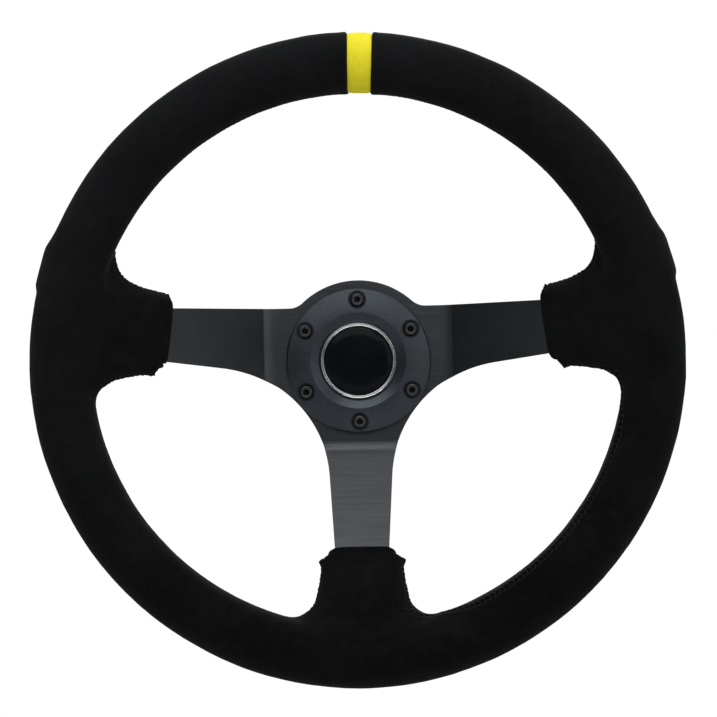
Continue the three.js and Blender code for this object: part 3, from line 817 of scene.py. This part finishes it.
def seam_height(x, z, shift):
    """y of the seam: the middle of the plate along a sleeve, and nearly the rim's middle beyond it."""
    aside = np.abs(x)
    above = np.abs(z - side_middle(aside))
    side = (z > -60 * MM) & (above < aside)
    out, across = np.where(side, aside, -z), np.where(side, above, aside)
    flank = PLATE_MIDDLE - (out - BEND_START) * SLOPE[1] / SLOPE[0]
    share = on_sleeve(x, z)
    reached = shift if shift < 0 else shift * smoothstep(across, 32 * MM, 62 * MM)
    return flank * share + (RIM_PLANE - reached) * (1 - share)


def seam_path(window):
    """Points along a window's seam, evenly spaced, found by looking outwards from its middle."""
    angles = np.linspace(0, TURN, 1441)[:-1]
    reach = np.arange(0, 180 * MM, 0.25 * MM)
    x = window[0] + np.cos(angles)[:, None] * reach
    z = window[1] + np.sin(angles)[:, None] * reach
    y = seam_height(x, z, SEAM_SHIFT[window])
    inside = grip(x, y, z, open_ends=False) < 0
    first = inside.argmax(axis=1)
    hit = inside.any(axis=1)
    points = np.column_stack([a[np.arange(len(angles)), first] for a in (x, y, z)])
    for out, across, u, _, lean in spoke_places(*points.T):
        run, _ = end_corner(across, lean)
        hit &= ~((u < SLEEVE_END_U + run) & (out > 0) & (np.abs(across) < 40 * MM))
    hit &= np.hypot(points[:, 0], points[:, 2]) < SEAM_LIMIT
    breaks = np.flatnonzero(~hit)
    if window == UPPER:
        breaks = breaks[breaks > 0]
    start = breaks[np.argmax(np.diff(np.append(breaks, breaks[0] + len(angles))))] + 1
    order = (start + np.arange(len(angles))) % len(angles)
    run = np.flatnonzero(~hit[order])
    points = points[order][: run[0] if len(run) else None]
    length = np.append(0, np.cumsum(np.linalg.norm(np.diff(points, axis=0), axis=1)))
    even = np.arange(0, length[-1], SEAM_STEP)
    return np.column_stack([np.interp(even, length, points[:, i]) for i in range(3)]), even


SEAMS = {window: seam_path(window) for window in (UPPER, LEFT, RIGHT)}


def seam_relief(vertices, normals):
    """Moves the surface near the seams: a groove with full sides on the rim, a ridge on the sleeves."""
    tree_points = np.vstack([path for path, _ in SEAMS.values()])
    along = np.concatenate([even for _, even in SEAMS.values()])
    from_end = np.concatenate([np.minimum(even, even[-1] - even) for _, even in SEAMS.values()])
    tree = KDTree(len(tree_points))
    for k, point in enumerate(tree_points):
        tree.insert(point, k)
    tree.balance()
    push = np.zeros(len(vertices))
    inner = np.hypot(vertices[:, 0], vertices[:, 2]) < RIM_RADIUS - 3 * MM
    for k in np.flatnonzero(inner):
        _, index, distance = tree.find(vertices[k])
        if distance > SEAM_REACH:
            continue
        share = float(on_sleeve(tree_points[index][0], tree_points[index][2]))
        wave = 0.5 + 0.5 * math.cos(TURN * along[index] / STITCH_PITCH)
        ridge = RIDGE + RIDGE_WAVE * wave + EAR * bell(from_end[index], 2.0 * MM)
        groove = GROOVE * bell(distance, 0.8 * MM)
        groove += (SHOULDER + SHOULDER_WAVE * wave) * bell(distance - 2.3 * MM, 1.3 * MM)
        push[k] = (share * ridge * bell(distance, 1.15 * MM) + (1 - share) * groove) * MM
    return vertices + normals * push[:, None]


def hem_relief(vertices, normals):
    """The folded hem at each sleeve's end: a line parallel to the end, with a fuller edge beyond it."""
    push = np.zeros(len(vertices))
    for out, across, u, _, _ in spoke_places(*vertices.T):
        in_from_end = u - SLEEVE_END_U
        near = (np.abs(across) < 24 * MM) & (out > 90 * MM) & (in_from_end < 14 * MM)
        hem = HEM_LINE * bell(in_from_end - 3.4 * MM, 0.8 * MM)
        hem += HEM_EDGE * bell(in_from_end - 1.5 * MM, 1.1 * MM)
        push += np.where(near, hem, 0) * MM
    return vertices + normals * push[:, None]


def hand_wrapped(vertices, normals):
    """Slow unevenness, as leather stretched on by hand has."""
    places = [Vector(v) for v in vertices]
    push = np.array([noise.noise(p * 55) * 0.22 + noise.noise(p * 160) * 0.09 for p in places])
    return vertices + normals * push[:, None] * MM


def unit_normals(function, vertices):
    slopes = gradient(function, vertices)
    return slopes / np.maximum(np.linalg.norm(slopes, axis=1), 1e-6)[:, None]


def quad_object(name, vertices, quads):
    mesh = bpy.data.meshes.new(name)
    mesh.vertices.add(len(vertices))
    mesh.vertices.foreach_set("co", vertices.astype(np.float32).ravel())
    mesh.loops.add(quads.size)
    mesh.loops.foreach_set("vertex_index", quads.astype(np.int32).ravel())
    mesh.polygons.add(len(quads))
    mesh.polygons.foreach_set("loop_start", np.arange(0, quads.size, 4, dtype=np.int32))
    mesh.update(calc_edges=True)
    mesh.validate()
    mesh.shade_smooth()
    return placed(name, mesh)


def tube(points, radius, sides):
    """Loops round a line of points, narrower at both ends."""
    tangents = np.gradient(points, axis=0)
    tangents /= np.linalg.norm(tangents, axis=1)[:, None]
    up = np.array([0.0, 1.0, 0.0]) if abs(tangents[0][1]) < 0.9 else np.array([1.0, 0.0, 0.0])
    angles = np.arange(sides)[:, None] * TURN / sides
    loops = []
    for k, (point, tangent) in enumerate(zip(points, tangents)):
        a = np.cross(tangent, up)
        a /= np.linalg.norm(a)
        b = np.cross(tangent, a)
        size = radius * (0.45 if k in (0, len(points) - 1) else 1.0)
        loops.append(point + size * (np.cos(angles) * a + np.sin(angles) * b))
    return loops


def many_tubes(name, lines, radius, sides):
    vertices, faces = [], []
    for points in lines:
        first, last = add_skin(vertices, faces, tube(points, radius, sides))
        faces.extend([range(first, first + sides)[::-1], range(last, last + sides)])
    return tidy_mesh(add_object(name, vertices, faces), weighted=False)


def laid(points, lift):
    """Points drawn onto the suede, then lifted off it by a distance each."""
    for _ in range(4):
        value, slope = grip(*points.T), gradient(grip, points)
        points = points - slope * (value / steepness(slope))[:, None]
    return points + unit_normals(grip, points) * lift[:, None]


# A stitch's distance from the seam, its half length across and along it, and how proud it lies
RIM_STITCH = (1.6 * MM, 1.3 * MM, 0.9 * MM, 0.05 * MM)
SLEEVE_STITCH = (1.9 * MM, 0, 1.0 * MM, 0)
THREAD_RADIUS = 0.28 * MM


def stitches(name, window):
    """Slanted stitches across the seam on the rim, and short ones along its ridge on the sleeves."""
    path, even = SEAMS[window]
    lines = []
    offsets = np.linspace(-1, 1, 7)
    sunk = (0.16 - 0.9 * np.abs(offsets) ** 6) * MM
    for along in np.arange(3 * MM, even[-1] - 3 * MM, STITCH_PITCH):
        along += noise.noise(Vector((along * 900, 0, 0))) * 0.5 * MM
        k = min(max(int(along / even[-1] * (len(path) - 1)), 1), len(path) - 2)
        middle = path[k]
        if marker_offset(middle[0], middle[2]) < MM:
            continue
        tangent = path[k + 1] - path[k - 1]
        tangent /= np.linalg.norm(tangent)
        across = np.cross(tangent, unit_normals(grip, middle[None])[0])
        away, wide, long, lift = SLEEVE_STITCH if on_sleeve(middle[0], middle[2]) > 0.4 else RIM_STITCH
        for side in (-1, 1):
            points = middle + np.outer(side * away + offsets * wide, across)
            points -= np.outer(side * offsets * long, tangent)
            lines.append(laid(points, sunk + lift))
    return many_tubes(name, lines, THREAD_RADIUS, 6)


# ---------- the soft pieces

COVER_STEP = 1.34 * MM
PADDING_STEP = 3 * MM


def make_cover():
    step = COVER_STEP
    vertices, quads = drawn(cover, step)
    normals = unit_normals(cover, vertices)
    vertices = hem_relief(vertices, normals)
    vertices = seam_relief(vertices, normals)
    vertices = hand_wrapped(vertices, normals)
    piece = quad_object("suede_wrap", vertices, quads)
    fit(piece, "wheel", "black_suede", "suede_cover")


def make_padding():
    vertices, quads = drawn(padding, PADDING_STEP, rounds=2)
    piece = quad_object("foam_core", vertices, quads)
    fit(piece, "wheel", "grip_foam", "rim_padding")


def make_marker():
    """A short length of the rim between the turned edges of the suede, crowned across its width."""
    steps, sides = 15, 72
    psi = np.arange(sides) * TURN / sides
    loops = []
    for t in np.linspace(-1, 1, steps):
        sink = (0.35 + 0.9 * abs(t) ** 5) * MM
        radius = GRIP_RADIUS - sink
        rho = RIM_RADIUS + radius * np.cos(psi)
        aside = t * (MARKER_HALF_WIDTH + (rho - RIM_RADIUS) / MARKER_TAPER + 0.6 * MM)
        along = np.sqrt(rho**2 - aside**2)
        x = along * math.cos(MARKER_ANGLE) + aside * math.sin(MARKER_ANGLE)
        z = along * math.sin(MARKER_ANGLE) - aside * math.cos(MARKER_ANGLE)
        loops.append(np.column_stack([x, RIM_PLANE + radius * np.sin(psi), z]))
    piece = tidy_mesh(lofted("marker_band", loops), weighted=False)
    fit(piece, "wheel", "yellow_suede", "center_marker")


make_cover()
make_padding()
make_marker()
for label, window in (("upper", UPPER), ("left", LEFT), ("right", RIGHT)):
    thread = stitches(f"seam_thread_{label}", window)
    fit(thread, "wheel", "black_suede")
    thread.data.materials[0] = THREAD

# ---------- the spoke plate

EDGE_STEPS = [(0.4 * MM, 0), (0.12 * MM, 0.12 * MM), (0, 0.4 * MM)]  # inset and depth of a broken edge


def sheet_wall(make_loop):
    """Loops down the wall of the sheet's outline or of a hole, with both edges broken."""
    half = PLATE_THICKNESS / 2
    loops = [make_loop(inset, depth - half) for inset, depth in EDGE_STEPS]
    return loops + [make_loop(inset, half - depth) for inset, depth in EDGE_STEPS[::-1]]


def hole_wall(radius, segments, centre=(0, 0)):
    return sheet_wall(lambda inset, y: circle(radius + inset, y, segments, centre))


def screw_place(k):
    angle = math.radians(90 + 60 * k)
    return SCREW_CIRCLE * math.cos(angle), SCREW_CIRCLE * math.sin(angle)


def make_plate():
    walls = [sheet_wall(lambda inset, y: [(x, y, z) for x, z in plate_outline(inset)])]
    walls.append(hole_wall(HORN_BORE, 96))
    walls += [hole_wall(SCREW_HOLE, 32, screw_place(k)) for k in range(SCREW_COUNT)]
    piece = bent(pierced("spoke_sheet", walls))
    fit(piece, "wheel", "brushed_anodised_aluminium", "spoke_plate")


make_plate()

# ---------- the horn ring, screws and button

RING_FRONT = -49.5
RING_REAR = -43.05
RING_LAND = -44.4
RING_BORE = 22.3
RING_RADIUS = 41.4
RING_FALL = 2.2
FUNNEL_EDGE = 27.4
REBATE = 29.7
WELL_RADIUS = 5.3
COUNTERBORE_FLOOR = -45.4
CARRIER_TOP = -44.7
CAP_REAR = CARRIER_TOP - 0.05


def make_ring():
    """A face that falls away outwards, a shallow funnel to the button and six counterbores."""
    crown = np.linspace(2.2, 11.4, 12)
    profile = [(RING_BORE, RING_LAND, 0.15), (RING_BORE, RING_FRONT + 2.75, 0.2)]
    profile.append((FUNNEL_EDGE, RING_FRONT + 0.02, 1.1))
    profile += [(FUNNEL_EDGE + u, RING_FRONT + 0.08 * u + 0.0063 * u**2, 0) for u in crown]
    profile += [(RING_RADIUS, RING_FRONT + RING_FALL, 1.2), (RING_RADIUS, RING_REAR, 0.15)]
    profile += [(REBATE, RING_REAR, 0.1), (REBATE, RING_LAND, 0.1)]
    ring = turned("horn_ring", profile, 0.15, 160, 4)
    well = [(WELL_RADIUS + 0.15, RING_FRONT - 1), (WELL_RADIUS, RING_FRONT + 0.4)]
    hole = SCREW_HOLE / MM
    well += [(WELL_RADIUS, COUNTERBORE_FLOOR), (hole, COUNTERBORE_FLOOR), (hole, RING_REAR + 1)]
    tools = []
    for k in range(SCREW_COUNT):
        tools.append(lofted("bore", [circle(r * MM, y * MM, 40, screw_place(k)) for r, y in well]))
    drilled(ring, tools)
    fit(ring, "wheel", "black_anodised_aluminium", "horn_retaining_ring")


# The screws' outlines as (radius, y) from the seat of the head; a hex's radius is to its flats
SHANK = [(2.0, 13.8), (2.4, 13.5), (2.4, 0.0)]
HEAD = [(3.95, 0.0), (4.05, -0.1), (4.05, -1.4), (3.9, -1.8), (3.6, -2.3)]
HEAD_ARC = [(3.35 - 0.5 * math.sin(t), -3.2 + 0.45 * math.cos(t)) for t in np.linspace(0, math.pi / 2, 6)]
HEX_SOCKET = [(1.8, -3.15), (1.6, -2.95), (1.6, -0.6)]
DRILL_POINT = (0.3, 0.4)


def make_screws():
    sides = 48
    angles = np.arange(sides) * TURN / sides
    seat = COUNTERBORE_FLOOR - 0.05
    for k in range(SCREW_COUNT):
        turn = math.radians(11 + 37 * k)
        to_side = np.cos((angles - turn) % (math.pi / 3) - math.pi / 6)
        outline = SHANK + HEAD + HEAD_ARC + [(flat / to_side, y) for flat, y in HEX_SOCKET] + [DRILL_POINT]
        loops = [circle(r * MM, (seat + y) * MM, sides, screw_place(k)) for r, y in outline]
        piece = tidy_mesh(lofted(f"button_screw_{k + 1}", loops))
        fit(piece, "wheel", "black_oxide_steel", f"hub_screw_{k + 1}")


def make_button():
    """The chrome ring, with a groove between its two lips, and the domed cap inside it."""
    top = CARRIER_TOP - 3.8
    bezel = [(19.7, CAP_REAR), (19.7, top + 0.5, 0.3), (20.0, top + 0.05, 0.3), (20.35, top + 0.4, 0.25)]
    bezel += [(20.55, top + 1.6, 0.1), (20.85, top + 1.6, 0.1), (21.05, top + 0.3, 0.25)]
    bezel += [(21.4, top, 0.3), (21.9, top + 0.6, 0.4), (21.9, CAP_REAR)]
    fit(turned("chrome_bezel", bezel, 0.16, 160), "horn_button", "chrome_plate", "horn_bezel")
    dome = [(19.3 * t, CARRIER_TOP - 5.3 + 1.05 * t**5, 0) for t in np.linspace(0, 0.93, 26)]
    dome += [(19.3, CARRIER_TOP - 4.0, 0.8), (19.4, CAP_REAR, 0.1), (0, CAP_REAR, 0)]
    fit(turned("resin_cap", dome, 0.2, 160), "horn_button", "gloss_black_plastic", "horn_cap")


make_ring()
make_screws()
make_button()

# ---------- the quick release behind the plate

FLANGE_REAR = -31.5
FLANGE_FRONT = -38.45
FLANGE_RADIUS = 42
HOUSING_ROOM = 30.2
CENTRE_BORE = 12
BARREL = 28.6
GROOVE_FLOOR = 27.2
SOCKET = 22.7
SOCKET_FLOOR = -24
HOUSING_GAP_REAR = -33.6
BALL_PLANE = -11
BALL_CIRCLE = 25.1
BORE_PHASE = 0.037  # keeps the bores' edges off the turning's own


def make_hub():
    """A flange for the screws and a barrel with the circlip's groove, the socket and the balls' holes."""
    corners = [(CENTRE_BORE, SOCKET_FLOOR), (SOCKET, SOCKET_FLOOR, 0.6), (SOCKET, -1.2), (SOCKET + 1.2, 0)]
    corners += [(BARREL - 0.8, 0), (BARREL, -0.8), (BARREL, -1.6, 0.05), (GROOVE_FLOOR, -1.6, 0.1)]
    corners += [(GROOVE_FLOOR, -3.0, 0.1), (BARREL, -3.0, 0.05), (BARREL, FLANGE_REAR, 0.9)]
    corners += [(FLANGE_RADIUS, FLANGE_REAR, 0.6), (FLANGE_RADIUS, FLANGE_FRONT, 0.6)]
    corners += [(HOUSING_ROOM, y) for y in (FLANGE_FRONT, HOUSING_GAP_REAR)]
    corners.append((CENTRE_BORE, HOUSING_GAP_REAR))
    hub = turned("release_hub", corners, 0.2, 144)
    tools = []
    for k in range(BALL_COUNT):
        bore = lofted("bore", [circle(4.4 * MM, y * MM, 40, phase=BORE_PHASE) for y in (19, 33)])
        bore.data.transform(Matrix.Rotation(-math.pi / 2, 4, "Z"))
        bore.data.transform(Matrix.Rotation(-TURN * k / BALL_COUNT, 4, "Y"))
        bore.data.transform(Matrix.Translation((0, BALL_PLANE * MM, 0)))
        tools.append(bore)
    for k in range(SCREW_COUNT):
        place = screw_place(k)
        tools.append(lofted("bore", [circle(2.6 * MM, y * MM, 28, place, BORE_PHASE) for y in (-40, -30)]))
    drilled(hub, tools)
    fit(hub, "wheel", "black_anodised_aluminium", "quick_release_hub")


def make_ribs():
    """Drive ribs round the bottom of the socket, with rounded crests and lead-in ends."""
    across = np.array([-1.6, -1.6, -1.2, 0, 1.2, 1.6, 1.6])
    crest = np.array([0, -0.7, -1.0, -1.06, -1.0, -0.7, 0])
    root = np.array([0.35, 0, 0, 0, 0, 0, 0.35])
    for k in range(RIB_COUNT):
        loops = []
        for y, height in ((-24.0, 1.5), (-18.2, 1.5), (-17.0, 1.3), (-16.2, 0.6)):
            loops.append(np.column_stack([SOCKET + crest * height + root, np.full(7, y), across]) * MM)
        rib = lofted(f"drive_rib_{k + 1}", loops)
        rib.data.transform(Matrix.Rotation(-TURN * (k + 0.5) / RIB_COUNT, 4, "Y"))
        fit(tidy_mesh(rib), "wheel", "black_anodised_aluminium")


def make_collar():
    """The release collar, its barrel knurled and its grip flange scalloped for the fingers."""
    corners = [(33.4, -24.5), (35.6, -24.5), (36, -24.0), (36, -9.6, 0.8), (39, -8.1, 0.7), (39.5, -7.2, 0.5)]
    corners += [(39.5, -4.0, 0.4), (38.6, -3.1, 0.3), (31.57, -3.1), (28.9, -13.1)]
    corners += [(28.9, -16.4), (33.4, -16.4)]
    segments = 288
    angles = np.arange(segments) * TURN / segments
    flutes = 0.55 * (0.5 - 0.5 * np.cos(36 * angles)) ** 2
    knurls = 0.18 * (0.5 - 0.5 * np.cos(72 * angles))
    loops = []
    for r, y in rounded(corners, 0.2, 3):
        on_flange = smoothstep(r, 36.6, 38.8)
        on_barrel = 35.9 < r < 36.05
        radius = r - flutes * on_flange - knurls * on_barrel
        loops.append(circle(radius * MM, y * MM, segments))
    piece = tidy_mesh(lofted("pull_collar", loops, closed=True))
    fit(piece, "release_collar", "black_anodised_aluminium", "release_collar")


def make_circlip():
    """An open retaining ring with an eye in each end."""
    inside, outside, lug_growth, eye_circle, eye = 27.7, 30.9, 2.2, 30.6 * MM, 0.95 * MM
    half_gap = math.asin(4 / 30.4)
    lug = math.radians(9)
    start, end = half_gap - math.pi / 2, 1.5 * math.pi - half_gap
    outer = np.linspace(start, end, 120)
    from_end = np.minimum(outer - start, end - outer)
    radius = outside + lug_growth * (1 - smoothstep(from_end, lug * 0.6, lug * 1.4))
    outline = np.column_stack([radius * np.cos(outer), radius * np.sin(outer)]) * MM
    outline = np.vstack([outline, arc((0, 0), inside * MM, end, start, 110)])
    faces = (-2.85 * MM, -1.75 * MM)
    walls = [[[(x, y, z) for x, z in outline] for y in faces]]
    for a in (start + lug * 0.5, end - lug * 0.5):
        centre = (eye_circle * math.cos(a), eye_circle * math.sin(a))
        walls.append([circle(eye, y, 20, centre) for y in faces])
    fit(pierced("retaining_clip", walls), "wheel", "black_oxide_steel", "collar_circlip")


def make_balls():
    for k in range(BALL_COUNT):
        angle = TURN * k / BALL_COUNT
        place = Vector((BALL_CIRCLE * math.cos(angle), BALL_PLANE, BALL_CIRCLE * math.sin(angle))) * MM
        mesh = bpy.data.meshes.new(f"release_ball_{k + 1}")
        work = bmesh.new()
        bmesh.ops.create_uvsphere(work, u_segments=40, v_segments=24, radius=3.98 * MM)
        work.to_mesh(mesh)
        work.free()
        mesh.transform(Matrix.Translation(place))
        mesh.shade_smooth()
        fit(placed(mesh.name, mesh), f"lock_ball_{k + 1}", "ball_steel", f"lock_ball_{k + 1}")


def coil(name, radius, wire, low, high, turns):
    """A compression spring whose end turns are closed and lie flat."""
    closed = 0.75
    inner = high - low - 2 * wire
    squeeze = 2.2 * wire / inner
    t = np.linspace(0, turns + 2 * closed, int(48 * (turns + 2 * closed)))
    share = 0.25 * smoothstep(t, closed, closed + turns) + 0.75 * np.clip((t - closed) / turns, 0, 1)
    creep = squeeze * (np.minimum(t / closed, 1) + np.maximum((t - turns - closed) / closed, 0)) / 2
    y = low + wire + inner * ((1 - squeeze) * share + creep)
    points = np.column_stack([radius * np.cos(TURN * t), y, radius * np.sin(TURN * t)])
    return many_tubes(name, [points * MM], wire * MM, 12)


def make_springs():
    spring = coil("collar_return_spring", radius=31.2, wire=0.8, low=-31.45, high=-16.45, turns=3.0)
    fit(spring, "wheel", "spring_steel", "collar_spring")
    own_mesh(spring)
    spring = coil("button_return_spring", radius=18, wire=0.55, low=-42.8, high=-36.05, turns=2.5)
    fit(spring, "wheel", "spring_steel", "horn_spring")
    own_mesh(spring)


def make_contacts():
    insulator = [(2.8, -27.9), (11.7, -27.9), (11.7, -24.6), (11.1, -24.0), (10.4, -24.0)]
    insulator += [(10.4, -24.4), (6.6, -24.4), (6.6, -24.0), (3.4, -24.0), (2.8, -24.4)]
    fit(turned("insulator", insulator, 0.15, 96), "wheel", "black_nylon", "contact_insulator")
    ring = [(7.4, -24.35), (7.4, -23.5), (7.6, -23.3), (9.4, -23.3), (9.6, -23.5), (9.6, -24.35)]
    fit(turned("slip_ring", ring, 0.1, 96), "wheel", "brass", "contact_ring")
    stud = [(0, -27.9), (2.5, -27.9), (2.5, -23.4, 0.3), (1.7, -23.0, 0.3), (0, -22.95, 0)]
    fit(turned("contact_pin", stud, 0.1, 64), "wheel", "brass", "contact_stud")


make_hub()
make_ribs()
make_collar()
make_circlip()
make_balls()
make_springs()
make_contacts()

KEPT_NODES = {
    "rim_core": "bare_aluminium",
    "horn_carrier": "black_nylon",
    "horn_housing": "black_nylon",
    "horn_moving_contact": "brass",
    "horn_fixed_contact": "brass",
    "horn_terminal_live": "brass",
    "horn_terminal_ground": "brass",
}
for node, slot in KEPT_NODES.items():
    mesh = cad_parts[node].data
    if not mesh.materials:
        mesh.materials.append(None)
    for index in range(len(mesh.materials)):
        mesh.materials[index] = MATERIALS[slot]

# ---------- floor, light and camera


def make_floor():
    half_width, near, far, z = 2.4, -1.8, 0.47, -0.32
    corners = [(-half_width, near, z), (half_width, near, z), (half_width, far, z), (-half_width, far, z)]
    floor = add_object("floor", corners, [range(4)])
    made = Shader("pale_floor", Roughness=0.9)
    made.colour(made.ramp(made.noise(3, 2), (0.2, grey(0.591)), (0.8, grey(0.6))))
    floor.data.materials.append(made.material)


LAMPS = {  # place, size and power of each soft box
    "key": ((1.15, -1.5, 0.45), (1.3, 1.3), 7.8),
    "top": ((-0.2, -0.55, 1.65), (2.2, 1.8), 22),
    "side": ((1.7, -0.45, 0.15), (1.0, 1.4), 1.7),
    "fill": ((-0.3, -1.48, 1.51), (2.2, 1.3), 17),
    "brow": ((-0.19, -2.19, 0.82), (1.67, 0.65), 8),
    "rear": ((0.3, 1.8, 1.2), (2.0, 1.4), 30),
}


def make_lights():
    aim = Vector((0, RIM_PLANE / 2, 0))
    for name, (place, size, power) in LAMPS.items():
        lamp = bpy.data.lights.new(name, "AREA")
        lamp.shape = "RECTANGLE"
        lamp.size, lamp.size_y = size
        lamp.energy = power
        light = placed(name, lamp)
        light.location = place
        light.rotation_euler = (aim - Vector(place)).to_track_quat("-Z", "Y").to_euler()
        light.visible_camera = False


def make_world():
    """White behind the object for the camera. For everything else the room is dark on the driver's
    side, where the gloss and the metal face, and lighter beside and behind the wheel."""
    world = bpy.data.worlds.new("studio")
    world.use_nodes = True
    tree = world.node_tree
    direction = add_node(tree, "ShaderNodeTexCoord").outputs["Generated"]
    along = add_node(tree, "ShaderNodeSeparateXYZ", Vector=direction).outputs["Y"]
    shade = add_node(tree, "ShaderNodeMapRange", Value=along, From_Min=-1.0, From_Max=0.3)
    shade.interpolation_type = "SMOOTHSTEP"
    feed(shade, To_Min=0.1, To_Max=0.6)
    room = feed(tree.nodes["Background"], Color=(0.95, 0.97, 1, 1), Strength=shade.outputs["Result"])
    bright = add_node(tree, "ShaderNodeBackground", Color=(1, 1, 1, 1), Strength=1.02)
    camera_ray = add_node(tree, "ShaderNodeLightPath").outputs["Is Camera Ray"]
    mix = add_node(tree, "ShaderNodeMixShader", Fac=camera_ray)
    tree.links.new(room.outputs["Background"], mix.inputs[1])
    tree.links.new(bright.outputs["Background"], mix.inputs[2])
    feed(tree.nodes["World Output"], Surface=mix.outputs["Shader"])
    bpy.context.scene.world = world


CAMERA_PLACE = Vector((0.0095, -1.0155, -0.0087))
CAMERA_AIM = Vector((0.0007, RIM_PLANE, 0.0005))
CAMERA_ROLL = math.radians(-1.3)
LENS = 84.75  # on a sensor 36 mm wide


def make_camera():
    data = bpy.data.cameras.new("camera")
    data.sensor_width = 36
    data.lens = LENS
    data.clip_start, data.clip_end = 0.05, 50
    camera = placed("camera", data)
    camera.location = CAMERA_PLACE
    turn = (CAMERA_AIM - CAMERA_PLACE).to_track_quat("-Z", "Y").to_matrix()
    camera.rotation_euler = (turn @ Matrix.Rotation(CAMERA_ROLL, 3, "Z")).to_euler()
    bpy.context.scene.camera = camera


bpy.context.scene.view_settings.view_transform = "Standard"
make_floor()
make_lights()
make_world()
make_camera()
